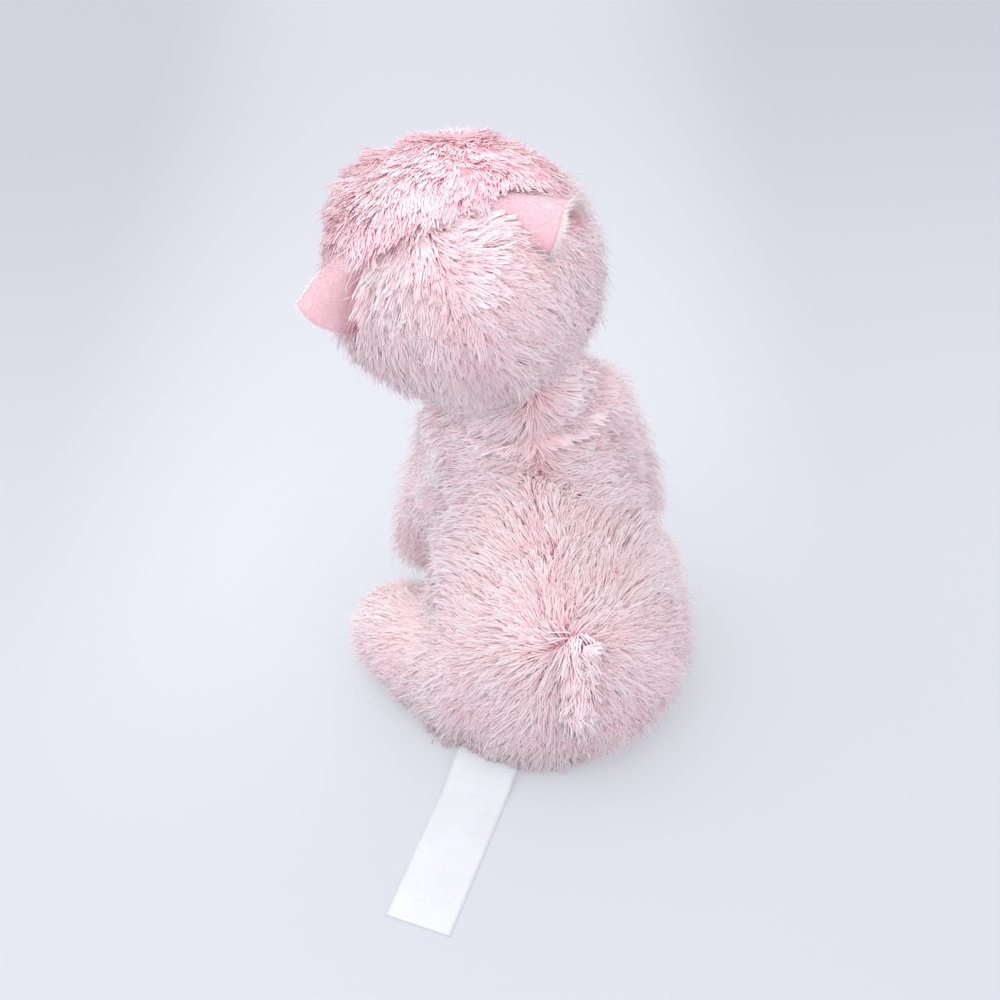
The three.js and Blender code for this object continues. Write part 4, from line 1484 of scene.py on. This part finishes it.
class Head:
    """Head with its topknot, muzzle and face."""

    # Painted shade: the place under the right ear, in the head's own axes, where the pile is darkened for the ear's
    # shadow.
    EAR_SHADE_SPOT = (-36.0, 29.0, 24.0)

    def __init__(self, toy: Toy, finishes: Finishes) -> None:
        """Keeps the forms and the finishes.

        Args:
            toy: The forms of all stuffed pieces.
            finishes: Every finish's material.
        """
        self.toy = toy
        self.finishes = finishes
        self.ears = [Ear(toy, finishes, side) for side in Side]
        self.eyes = [Eye(toy, finishes, side) for side in Side]
        self.crown = toy.from_head(np.array([-23.5, -19.5, 42.0]))
        self.seam = toy.head_centre + np.array([(-8.3, 7.6, 51.8), (8, 27, 45), (20.7, 36.9, 31.9), (13.9, 48.2, 17),
                                                (11.7, 50.9, 9), (5.7, 52.6, -2.7), (-6.3, 43.5, -29.7)])
        self.hood_seam = toy.head_centre + np.array([(36.6, 12.6, 36.2), (27.4, 19.1, 41.1), (17.4, 20.4, 45.7),
                                                     (12.3, 22.6, 46.3), (2, 17, 49.5), (-8.3, 7.6, 51.8)])

    def hooded(self, points: Array) -> Array:
        """Which points lie on the topknot panel."""
        local = self.toy.in_head(points)
        return local[:, 2] > 14 + 1.5 * np.maximum(local[:, 1], 0)

    def flow(self, points: Array, normal: Array) -> Array:
        """The pile's lie: down the head, and away from its centre-back seam beside it.

        Args:
            points: One row for each place, in millimetres.
            normal: The head's outward directions there.

        Returns:
            One direction for each.
        """
        local = self.toy.in_head(points)
        gap = local[:, :1] + 6.0
        beside = np.exp(-(gap / 22) ** 2) * smooth(local[:, 1], 6, 34)[:, None] * np.where(gap > 0, 0.4, 0.95)
        down = -self.toy.turn[:, 2] + normal * dot(normal, self.toy.turn[:, 2][None])
        return unit(down) + beside * np.tanh(gap / 5) * self.toy.turn[:, 0]

    def topknot_flow(self, points: Array, normal: Array) -> Array:
        """The topknot's lie: combed from the forehead over the crown to the hood's seam."""
        local = self.toy.in_head(points)
        behind = smooth(local[:, 1], -35, 5)[:, None]
        return unit(points - self.crown) + behind * self.toy.turn[:, 1]

    def slim(self, points: Array) -> Array:
        """Shorter pile on the cheeks and along the seams.

        Args:
            points: One row for each place, in millimetres.

        Returns:
            One share of the full length for each.
        """
        local = self.toy.in_head(points)
        cheek = smooth(local[:, 0], 5, 35) * smooth(-local[:, 2], -20, 15)
        temple = smooth(-local[:, 0], 5, 35) * smooth(local[:, 2], -15, 25)
        hem = np.where(self.hooded(points), -0.3, 0.25)
        face = smooth(-local[:, 1], 18, 42) * smooth(-local[:, 2], -34, -18)
        back = (1 - hem * self.seam_dip(points)) * (1 - 0.35 * cheek) * (1 - 0.3 * temple)
        return back * (1 - 0.3 * face) * (1 + 0.3 * self.brow(points))

    def brow(self, points: Array) -> Array:
        """How near points are to the crown's left, where the topknot stands highest, from 0 to 1."""
        local = self.toy.in_head(points)
        return smooth(local[:, 0], -6, 14) * (1 - smooth(local[:, 0], 22, 36)) * smooth(local[:, 2], 28, 44)

    def seam_dip(self, points: Array) -> Array:
        """How close points are to either seam, from 0 to 1.

        Args:
            points: One row for each place, in millimetres.

        Returns:
            One share for each.
        """
        best = np.full(len(points), 99.0)
        for line in (self.seam, self.hood_seam):
            for a, b in zip(line, line[1:]):
                share = np.clip((points - a) @ (b - a) / ((b - a) @ (b - a)), 0, 1)[:, None]
                best = np.minimum(best, np.linalg.norm(points - (a + share * (b - a)), axis=-1))
        return 1 - smooth(best, 3, 9)

    def tint_at(self, points: Array) -> Array:
        """Pinker pile along the seams, with painted shade under the right ear, where its shadow falls, and at the
        crown, where it tones down the light on the tips.

        Args:
            points: One row for each place, in millimetres.

        Returns:
            One change of tint for each, below zero where pinker.
        """
        # Painted shade under the right ear: the pile is darkened where the ear's shadow falls.
        gap = np.linalg.norm(self.toy.in_head(points) - np.array(self.EAR_SHADE_SPOT), axis=-1)
        # Painted shade at the crown: darker pile that tones down the light on the tips standing there.
        top = np.linalg.norm(points - self.crown, axis=-1)
        base = np.where(self.hooded(points), -0.08, 0.04)
        return base - 0.36 * self.seam_dip(points) - 0.4 * np.exp(-(gap / 13) ** 2) - 0.4 * np.exp(-(top / 16) ** 2)

    def lift_at(self, points: Array) -> Array:
        """Degrees that the topknot stands up more: at the crown and to its left."""
        top = 1 - smooth(np.linalg.norm(points - self.crown, axis=-1), 4, 16)
        return 6 * top + 16 * self.brow(points)

    def build(self) -> None:
        """Makes the skins, the pile, the ears and the face."""
        toy, made = self.toy, self.finishes
        add_skin("head_skin", toy.head, -3.6, "head", made.backing, "head_cover")
        near = [toy.torso, toy.neck, toy.muzzle]
        rng = np.random.default_rng(20)
        bare = np.concatenate([ear.clear_points(rng) for ear in self.ears] + [eye.above() for eye in self.eyes])
        shape = {"length_at": self.slim, "tint_at": self.tint_at}
        coat = Grower(21, toy.head, near, PileLook(length=12.5, drift=23, curl=0.8))
        curls = Grower(22, toy.head, near, PileLook(length=11, curl=1.2, drift=28, wander=16, root_tilt=50, tip_tilt=85,
                                                    lock=7, lock_pull=0.7, sections=4, taper=(0.8, 1, 1, 0.8),
                                                    modelling=0.6))
        haze = Grower(23, toy.head, near, FLUFF)
        for grower in (coat, curls, haze):
            grower.keep_off(bare, 1.8)
        Pile("head_pile", "pile_fabric", made.pile, coat).grow(
            "head", 76000, self.flow, keep=lambda p: ~self.hooded(p), **shape)
        Pile("topknot_pile", "curly_fabric", made.curly, curls).grow(
            "head", 76000, self.topknot_flow, -2.2, self.hooded, **shape, lift_at=self.lift_at)
        Pile("head_fluff", "pile_fabric", made.pile, haze).grow("head", 24000, self.flow, -3.0,
                                                                 lambda p: ~self.hooded(p), length_at=self.slim)
        Pile("topknot_fluff", "curly_fabric", made.curly, haze).grow(
            "head", 15000, self.topknot_flow, -2.2, self.hooded, length_at=lambda p: 0.75 * self.slim(p))
        points, faces = toy.head.skin(-1.5, 40, 60)
        keep = self.hooded(points[faces].mean(1))
        patch = add_mesh("topknot_skin", points, faces[keep])
        thickness = patch.modifiers.new("cloth", "SOLIDIFY")
        thickness.thickness, thickness.offset = 0.0015, -1
        dress(patch, made.backing, "head")
        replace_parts(patch, "topknot")
        self.muzzle()
        for part in (*self.ears, *self.eyes):
            part.build()

    def muzzle(self) -> None:
        """Makes the muzzle with its short pile, the stitched nose and the stitched mouth."""
        toy, made = self.toy, self.finishes
        add_skin("muzzle_skin", toy.muzzle, -0.8, "head", made.muzzle, "muzzle", 40, 60)
        nose, mouth = self.nose_lines(), self.mouth_lines()
        look = PileLook(length=2.8, length_spread=0.2, width=0.3, thickness=0.22, root_tilt=34, tip_tilt=62, wander=20,
                        lock=4, lock_pull=0.5, tuft=1, sections=2, taper=(1.0, 0.8), blunt=0.3)
        grower = Grower(24, toy.muzzle, [toy.head], look)
        grower.keep_off(np.concatenate(nose + mouth), 1.2)
        tip = toy.muzzle.centre - toy.turn[:, 1] * 23.0
        Pile("muzzle_nap", "muzzle_fabric", made.nap, grower).grow("head", 30000, lambda p, n: unit(p - tip), -0.9)
        for name, lines, radius, node in (("nose_threads", nose, 0.42, "nose_stitching"),
                                          ("mouth_threads", mouth, 0.75, "mouth_stitching")):
            piece = dress(thread_mesh(name, lines, radius), made.thread, "head")
            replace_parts(piece, node)

    def on_muzzle(self, across: Array, up: Array, rise: Array) -> Array:
        """Places on the muzzle's front.

        Args:
            across: Millimetres to the left of its middle.
            up: Millimetres above its middle.
            rise: Millimetres outside its surface.

        Returns:
            One row for each place.
        """
        muzzle = self.toy.muzzle
        forward = np.sqrt(np.clip(1 - (across / muzzle.halves[0]) ** 2 - (up / muzzle.halves[2]) ** 2, 0, 1))
        local = np.stack([across, -forward * muzzle.halves[1], up], -1)
        points = muzzle.centre + local @ self.toy.turn.T
        return points + muzzle.normal(points) * np.asarray(rise)[..., None]

    def nose_lines(self) -> list[Array]:
        """The nose's satin stitches, side by side from brow to lip."""
        lines = []
        for up in np.linspace(-4.3, 4.3, 15):
            share = np.linspace(-1, 1, 13)
            half = 8.0 * math.sqrt(1 - (up / 4.6) ** 2) * (1 + 0.12 * up / 4.5)
            lines.append(self.on_muzzle(share * half, 7.0 + up + 0.15 * share, 0.35 + 0.8 * np.sqrt(1 - share ** 4)
                                        * math.sqrt(1 - (up / 5.2) ** 2)))
        return lines

    def mouth_lines(self) -> list[Array]:
        """The mouth's back stitches and the short one under the nose."""
        ends = np.linspace(-1, 1, 8)
        lines = []
        for a, b in zip(ends, ends[1:]):
            share = np.linspace(a - 0.02, b + 0.02, 9)
            lines.append(self.on_muzzle(share * 9.0, -8.2 + 3.6 * share ** 2,
                                        0.3 + 0.55 * np.sin(np.linspace(0, math.pi, 9)) ** 0.5))
        for a, b in ((2.2, -2.6), (-2.2, -7.4)):
            lines.append(self.on_muzzle(np.zeros(9), np.linspace(a, b, 9),
                                        0.3 + 0.55 * np.sin(np.linspace(0, math.pi, 9)) ** 0.5))
        return lines


def thread_mesh(name: str, lines: Sequence[Array], radius: float) -> bpy.types.Object:
    """Makes closed threads with round ends.

    Args:
        name: The piece's name.
        lines: Each thread's middle line.
        radius: The threads' radius in millimetres.

    Returns:
        The new piece.
    """
    sides, points, faces, first = 10, [], [], 0
    for line in lines:
        way = unit(np.gradient(line, axis=0))
        start, stop = line[0] - way[0] * radius * 0.7, line[-1] + way[-1] * radius * 0.7
        line = np.concatenate([start[None], line, stop[None]])
        way = np.concatenate([way[:1], way, way[-1:]])
        side = unit(np.cross(way, np.array([[0.31, 0.2, 0.93]])))
        rise = np.cross(side, way)
        thick = np.full(len(line), radius)
        thick[[0, -1]] *= 0.5
        turn = np.linspace(0, 2 * math.pi, sides, endpoint=False)
        ring = (side[:, None] * np.cos(turn)[None, :, None] + rise[:, None] * np.sin(turn)[None, :, None])
        points.append((line[:, None] + ring * thick[:, None, None]).reshape(-1, 3))
        rows = len(line)
        points.append(np.stack([start - way[0] * radius * 0.3, stop + way[-1] * radius * 0.3]))
        grid = grid_faces(rows, sides, True) + first
        faces += [tuple(f) for f in grid]
        low, high, top = first + rows * sides, first + rows * sides + 1, first + (rows - 1) * sides
        for i in range(sides):
            j = (i + 1) % sides
            faces += [(first + j, first + i, low, low), (top + i, top + j, high, high)]
        first += rows * sides + 2
    mesh = bpy.data.meshes.new(name)
    corners = [tuple(dict.fromkeys(int(v) for v in face)) for face in faces]
    mesh.from_pydata((np.concatenate(points) * MM).tolist(), [], corners)
    piece = bpy.data.objects.new(name, mesh)
    bpy.context.scene.collection.objects.link(piece)
    weld(piece)
    piece.data.polygons.foreach_set("use_smooth", [True] * len(piece.data.polygons))
    return piece


class Side(StrEnum):
    """The toy's own left or right."""

    LEFT = "left"
    RIGHT = "right"


class Eye:
    """One domed button, whose shank passes the cover."""

    RADIUS, RISE, SHANK, REACH = 6.0, 3.6, 2.0, 9.0

    def __init__(self, toy: Toy, finishes: Finishes, side: Side) -> None:
        """Finds the eye's seat on the head.

        Args:
            toy: The forms of all stuffed pieces.
            finishes: Every finish's material.
            side: Which eye it is.
        """
        self.toy, self.finishes, self.side = toy, finishes, side
        across, up = math.radians(33.0) * (1 if side is Side.LEFT else -1), math.radians(9.0)
        way = np.array([math.sin(across) * math.cos(up), -math.cos(across) * math.cos(up), math.sin(up)])
        point = way / np.linalg.norm(way / toy.head.halves)
        self.out = unit(point / toy.head.halves ** 2)
        self.seat = point + self.out * 2.0
        self.across = unit(np.cross(np.array([0.0, 0, 1]), self.out))

    def placed(self, points: Array) -> Array:
        """The toy's frame from the eye's own axes, whose last one points out."""
        basis = np.stack([self.across, np.cross(self.out, self.across), self.out], -1)
        return self.toy.from_head(points @ basis.T + self.seat)

    def above(self) -> Array:
        """Points over the button, which the pile leaves bare."""
        rng = np.random.default_rng(31)
        turn, out = rng.uniform(0, 2 * math.pi, 500), np.sqrt(rng.uniform(0, 1, 500)) * (self.RADIUS - 1.2)
        return self.placed(np.stack([out * np.cos(turn), out * np.sin(turn), rng.uniform(1, 10, 500)], -1))

    def build(self) -> None:
        """Makes the button."""
        turn = np.linspace(0, math.pi / 2, 22)
        dome = np.stack([self.RADIUS * np.cos(turn) ** 0.9, self.RISE * np.sin(turn)], -1)[:-1]
        profile = np.concatenate([[(0.6, -self.REACH), (self.SHANK, -self.REACH + 0.3), (self.SHANK, -0.6),
                                   (self.RADIUS - 0.7, -0.6), (self.RADIUS - 0.15, -0.35)], dome, [(0.35, self.RISE)]])
        angle = np.linspace(0, 2 * math.pi, 72, endpoint=False)
        ring = np.stack([profile[:, :1] * np.cos(angle), profile[:, :1] * np.sin(angle),
                         np.repeat(profile[:, 1:], 72, 1)], -1).reshape(-1, 3)
        points = self.placed(np.concatenate([ring, [(0, 0, -self.REACH), (0, 0, self.RISE)]]))
        faces = [tuple(f) for f in grid_faces(len(profile), 72, True)]
        top = (len(profile) - 1) * 72
        for i in range(72):
            j = (i + 1) % 72
            faces += [(j, i, len(ring)), (top + i, top + j, len(ring) + 1)]
        mesh = bpy.data.meshes.new(f"eye_{self.side}_button")
        mesh.from_pydata((points * MM).tolist(), [], [tuple(int(v) for v in f) for f in faces])
        piece = bpy.data.objects.new(mesh.name, mesh)
        bpy.context.scene.collection.objects.link(piece)
        weld(piece)
        piece.data.polygons.foreach_set("use_smooth", [True] * len(piece.data.polygons))
        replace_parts(dress(piece, self.finishes.eye, "head"), f"eye_{self.side}")


@dataclass(frozen=True)
class EarShape:
    """A leaf rolled at its root, in its own axes: across, back and reach, in millimetres and radians."""

    length: float = 39.0
    root_half: float = 4.5
    full_half: float = 14.0
    root_roll: float = 2.5
    rim_roll: float = 1.05
    far_roll: float = 1.05
    rounding: float = 2.5
    skew: float = 0.0
    depth: float = 1.0
    turn: float = 0.0
    sink: float = 3.0

    def point(self, along: Array, across: Array, rise: Array) -> Array:
        """A place on the sheet.

        Args:
            along: 0 at the root and 1 at the rim.
            across: -1 to 1 from edge to edge.
            rise: Millimetres outward from the sheet's own middle.

        Returns:
            Points in the ear's own axes.
        """
        half = self.root_half + (self.full_half - self.root_half) * along ** 0.8
        opened = smooth(along, -0.1, 0.8)
        roll, far = (self.root_roll + (end - self.root_roll) * opened for end in (self.rim_roll, self.far_roll))
        radius = half / roll
        turn = across * np.where(across > 0, far, roll)
        reach = along * (self.length - self.rounding * across * across + self.skew * smooth(across, 0.0, 0.9))
        ripple = 0.5 * np.sin(across * 4.0 + along * 5.0) * along
        rise = rise * (0.35 + 0.65 * smooth(along, 0.0, 0.35))
        return np.stack([(radius + rise) * np.sin(turn),
                         radius * (np.cos(turn) - 1) * self.depth + rise * np.cos(turn) + ripple, reach], -1)


class Ear:
    """One ear: shell, lining and their nap."""

    ROOTS = {Side.LEFT: ((20.5, 18, 43.5), (48.0, 23.5, 23)), Side.RIGHT: ((-30.0, 18.5, 37), (-55.6, 25, 13.5))}
    SHAPES = {Side.LEFT: EarShape(length=41.0, turn=-60.0, full_half=14.5),
              Side.RIGHT: EarShape(length=30.5, full_half=15.5, rim_roll=1.4, far_roll=2.7, skew=11.5, depth=0.7,
                                   rounding=1.0)}

    def __init__(self, toy: Toy, finishes: Finishes, side: Side) -> None:
        """Keeps the forms, the finishes and the side.

        Args:
            toy: The forms of all stuffed pieces.
            finishes: Every finish's material.
            side: Which ear it is.
        """
        self.toy = toy
        self.finishes = finishes
        self.side = side
        self.shape = self.SHAPES[side]
        root, tip = (np.array(p) for p in self.ROOTS[side])
        out, reach = unit(root), unit(tip - root)
        across = unit(np.cross(out, reach))
        across = np.array(Matrix.Rotation(math.radians(self.shape.turn), 3, reach)) @ across
        self.basis = np.stack([across, np.cross(reach, across), reach], -1)
        self.origin = root - self.shape.sink * reach

    def placed(self, points: Array) -> Array:
        """The toy's frame from the ear's own axes."""
        return self.toy.from_head(points @ self.basis.T + self.origin)

    def sheet(self, name: str, low: float, high: float, material: bpy.types.Material, node: str) -> None:
        """Adds one closed layer with a round rim.

        Args:
            name: The piece's name.
            low: The inner side's rise, in millimetres.
            high: The outer side's rise, in millimetres.
            material: The layer's material.
            node: The CAD node that it stands for.
        """
        rows, columns = 34, 31
        along, across = np.meshgrid(np.linspace(0, 1, rows), np.linspace(-1, 1, columns), indexing="ij")
        along = 1 - (1 - along) ** 1.5
        across = np.sin(across * math.pi / 2)
        ahead, beside = (1 - along) * self.shape.length, (1 - np.abs(across)) * self.shape.full_half
        rim = np.minimum(np.minimum(ahead, beside) / 1.6, 1)
        plump = np.sqrt(np.clip(1 - (1 - rim) ** 2, 0, 1))
        middle, half = (low + high) / 2, (high - low) / 2
        layers = [self.placed(self.shape.point(along, across, middle + sign * half * plump).reshape(-1, 3))
                  for sign in (-1, 1)]
        quads = grid_faces(rows, columns, False)
        root = np.stack([np.arange(columns - 1), np.arange(1, columns), rows * columns + np.arange(1, columns),
                         rows * columns + np.arange(columns - 1)], -1)
        faces = np.concatenate([quads, quads[:, ::-1] + rows * columns, root[:, ::-1]])
        piece = add_mesh(name, np.concatenate(layers), faces)
        weld(piece)
        dress(piece, material, f"ear_{self.side}")
        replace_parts(piece, node)

    def clear_points(self, rng: np.random.Generator) -> Array:
        """Points on the ear and over it that the head's pile leaves bare.

        Args:
            rng: The seeded source of numbers.

        Returns:
            One row for each point.
        """
        start = 0.15 if self.side is Side.LEFT else 0.17
        sets = [self.spots(rng, 700, 1.0, start)[0]]
        if self.side is Side.LEFT:
            along, across = rng.uniform(start, 1, 900), rng.uniform(-0.4, 0.9, 900)
            sets.append(self.placed(self.shape.point(along, across, rng.uniform(3, 12, 900))))
        return np.concatenate(sets)

    def spots(self, rng: np.random.Generator, count: int, rise: float,
              start: float = 0.02) -> tuple[Array, Array, Array]:
        """Random places on one side of the ear.

        Args:
            rng: The seeded source of numbers.
            count: How many places.
            rise: Millimetres outward from the sheet's own middle.
            start: How far from the root they begin, from 0 to 1.

        Returns:
            The places, the directions off the surface and the directions to the rim.
        """
        along, across = rng.uniform(start, 0.99, count), rng.uniform(-0.98, 0.98, count)
        here, over, ahead = (self.placed(self.shape.point(a, across, np.full(count, r))) for a, r in (
            (along, rise), (along, rise + math.copysign(1.0, rise)), (along + 0.02, rise)))
        return here, unit(over - here), unit(ahead - here)

    def rim(self, rng: np.random.Generator, count: int) -> tuple[Array, Array, Array]:
        """Random places on the rim, alike in what they return to spots."""
        across = rng.uniform(-1, 1, count)
        side = rng.uniform(size=count) < 0.45
        along = np.where(side, rng.uniform(0.35, 1, count), 0.985)
        across = np.where(side, np.sign(across) * 0.985, across)
        rise = rng.uniform(-1.2, 2.0, count)
        here = self.placed(self.shape.point(along, across, rise))
        inner = self.placed(self.shape.point(along * 0.95, across * 0.93, rise))
        over = self.placed(self.shape.point(along, across, rise + 1))
        return here, unit(over - here), unit(here - inner)

    def nap(self, name: str, places: tuple[Array, Array, Array], look: PileLook, lift: float,
            material: bpy.types.Material, slot: str, seed: int) -> None:
        """Adds short fibres.

        Args:
            name: The piece's name.
            places: What spots or rim returned.
            look: The fibres' sizes.
            lift: How far they stand off the surface, from 0 to 1.
            material: Their material.
            slot: The material slot's name; not used.
            seed: The seed of their draws.
        """
        rng = np.random.default_rng(seed)
        here, over, ahead = places
        count = len(here)
        way = unit(ahead + over * lift + rng.normal(0, 0.35, (count, 3)))
        length = look.length * np.exp(rng.normal(0, look.length_spread, count))[:, None]
        paths = np.stack([here - over * 0.3, here + way * length * 0.5, here + unit(way + ahead * 0.3) * length], 1)
        # Painted shade: the left ear's nap turns deeper pink toward its side by the head, where shade falls in the
        # crevice.
        inner = smooth((here - self.toy.from_head(self.origin)) @ (self.toy.turn @ self.basis[:, 0]), 0, 12)
        tints = np.clip(0.5 + 0.16 * rng.normal(size=count) - 0.6 * inner * (self.side is Side.LEFT), 0.02, 0.97)
        strands = Strands(paths, np.repeat(over[:, None], 3, 1), look.width * np.exp(rng.normal(0, 0.2, count)), tints)
        dress(blade_mesh(name, strands, look), material, f"ear_{self.side}")

    def build(self) -> None:
        """Makes the layers and their nap."""
        made, side, on_right = self.finishes, self.side, self.side is Side.RIGHT
        self.sheet(f"ear_{side}_outer", 0.0, 2.2, made.ear, f"ear_{side}_shell")
        self.sheet(f"ear_{side}_inner", -1.5, -0.1, made.lining, f"ear_{side}_lining")
        rng = np.random.default_rng(46 if on_right else 45)
        velour = PileLook(length=1.1, length_spread=0.25, width=0.14, thickness=0.12, sections=2,
                          taper=(1.0, 0.7), blunt=0)
        edge = PileLook(length=2.4, length_spread=0.35, width=0.2, thickness=0.16, sections=2,
                        taper=(1.0, 0.8), blunt=0)
        self.nap(f"ear_{side}_nap", self.spots(rng, 14000, 2.1), velour, 0.45, made.velour, "ear_fabric", 51)
        self.nap(f"ear_{side}_lining_nap", self.spots(rng, 6000, -1.4), edge, 0.6, made.velour,
                 "ear_lining_fabric", 52)
        rim = edge if on_right else replace(edge, length=1.2)
        self.nap(f"ear_{side}_rim_nap", self.rim(rng, 5200 if on_right else 2600), rim, 0.9, made.tuft,
                 "ear_lining_fabric", 53)


def weld(piece: bpy.types.Object) -> None:
    """Joins points that lie in one place and turns the faces outward.

    Args:
        piece: The mesh object.
    """
    work = bmesh.new()
    work.from_mesh(piece.data)
    bmesh.ops.remove_doubles(work, verts=work.verts, dist=1e-6)
    bmesh.ops.recalc_face_normals(work, faces=work.faces)
    work.to_mesh(piece.data)
    work.free()


@dataclass
class CareLabel:
    """The blank satin care label: out of the seat seam and along the floor."""

    width: float = 29.0
    root: tuple[float, float, float] = (41.5, 57.0, 0.0)
    end: tuple[float, float, float] = (88.6, 127.2, 0.0)
    lip: float = 7.0
    run: float = 20.0
    tuck: float = 14.0
    wall: float = 0.28

    def middle(self) -> Array:
        """Points of the label's middle line in its own axes."""
        length = math.dist(self.root, self.end)
        t = np.linspace(0, 1, 26)[:, None]
        start = [np.array(p) for p in ((-self.tuck, 0, self.lip), (0.0, 0, self.lip), (self.run / 2, 0, 0.25),
                                       (self.run, 0, 0.25))]
        bend = ((1 - t) ** 3 * start[0] + 3 * t * (1 - t) ** 2 * start[1]
                + 3 * t * t * (1 - t) * start[2] + t ** 3 * start[3])
        rest = np.linspace(self.run, length, 46)[1:]
        return np.concatenate([bend, np.stack([rest, 0 * rest, 0.25 + 0 * rest], -1)])

    def turn(self) -> Array:
        """Columns are the label's own axes."""
        angle = math.atan2(self.end[1] - self.root[1], self.end[0] - self.root[0])
        return np.array(Matrix.Rotation(angle, 3, "Z"))

    def above(self) -> Array:
        """Points over the label's lip, which the pile leaves bare."""
        middle = self.middle()
        middle = middle[(middle[:, 0] > 1.5) & (middle[:, 0] < 30)]
        across = np.linspace(-0.5, 0.5, 15) * (self.width - 1.5)
        points = np.array([m + (0, a, h) for m in middle for a in across for h in (0, 2.5, 5.0)])
        return points @ self.turn().T + np.array(self.root)

    def build(self, material: bpy.types.Material) -> None:
        """Makes the strip.

        Args:
            material: The satin.
        """
        middle = self.middle()
        rows, columns = len(middle), 15
        turn = self.turn()
        across = np.linspace(-0.5, 0.5, columns) * self.width
        points = np.repeat(middle, columns, 0)
        points[:, 1] = np.tile(across, rows)
        layers = []
        for rise in (0.0, self.wall):
            layer = points.copy()
            layer[:, 2] += rise
            layers.append(layer @ turn.T + np.array(self.root))
        quads = grid_faces(rows, columns, False)
        edge = [np.arange(columns), (rows - 1) * columns + np.arange(columns),
                np.arange(rows) * columns, np.arange(rows) * columns + columns - 1]
        sides = [np.stack([e[:-1], e[1:], e[1:] + rows * columns, e[:-1] + rows * columns], -1) for e in edge]
        faces = np.concatenate([quads[:, ::-1], quads + rows * columns, *sides])
        piece = add_mesh("care_label_strip", np.concatenate(layers), faces)
        weld(piece)
        layer = piece.data.uv_layers.new(name="Weave")
        inverse = np.linalg.inv(turn)
        for loop in piece.data.loops:
            place = inverse @ (np.array(piece.data.vertices[loop.vertex_index].co) / MM - np.array(self.root))
            layer.data[loop.index].uv = (place[1], place[0])
        dress(piece, material, "care_label")
        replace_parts(piece, "care_label")


def hidden_finishes(nodes: dict[str, bpy.types.Object]) -> None:
    """Gives every CAD node that stays shown a finish of its own.

    Args:
        nodes: The frame's objects by name.
    """
    fibre = HiddenFinish("fibre_filling", linear(244, 243, 240), linear(226, 225, 222), 260.0).make()
    cloth = HiddenFinish("bag_cloth", linear(232, 226, 214), linear(206, 198, 182), 900.0).make()
    grain = HiddenFinish("grain", linear(206, 170, 118), linear(150, 112, 66), 420.0, 0.7).make()
    washer = HiddenFinish("washer_plastic", linear(235, 235, 232), linear(222, 222, 219), 200.0, 0.45).make()
    button = EYE_PLASTIC.make()
    thread = NOSE_THREAD.make()
    for name, node in nodes.items():
        if node.hide_render:
            continue
        kinds = (("washer", washer), ("eye", button), ("stitching", thread), ("grain_bag", cloth),
                 ("grain_fill", grain), ("", fibre))
        node.data.materials.clear()
        node.data.materials.append(next(material for key, material in kinds if key in name))


def main() -> None:
    """Builds the toy round the frame."""
    logging.basicConfig(level=logging.INFO, format="%(name)s: %(message)s")
    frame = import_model()
    Scene().build()
    toy, finishes = Toy(), Finishes()
    Coat(toy, finishes).build()
    Head(toy, finishes).build()
    CareLabel().build(finishes.satin)
    hidden_finishes(frame["nodes"])


if __name__ == "__main__":
    main()
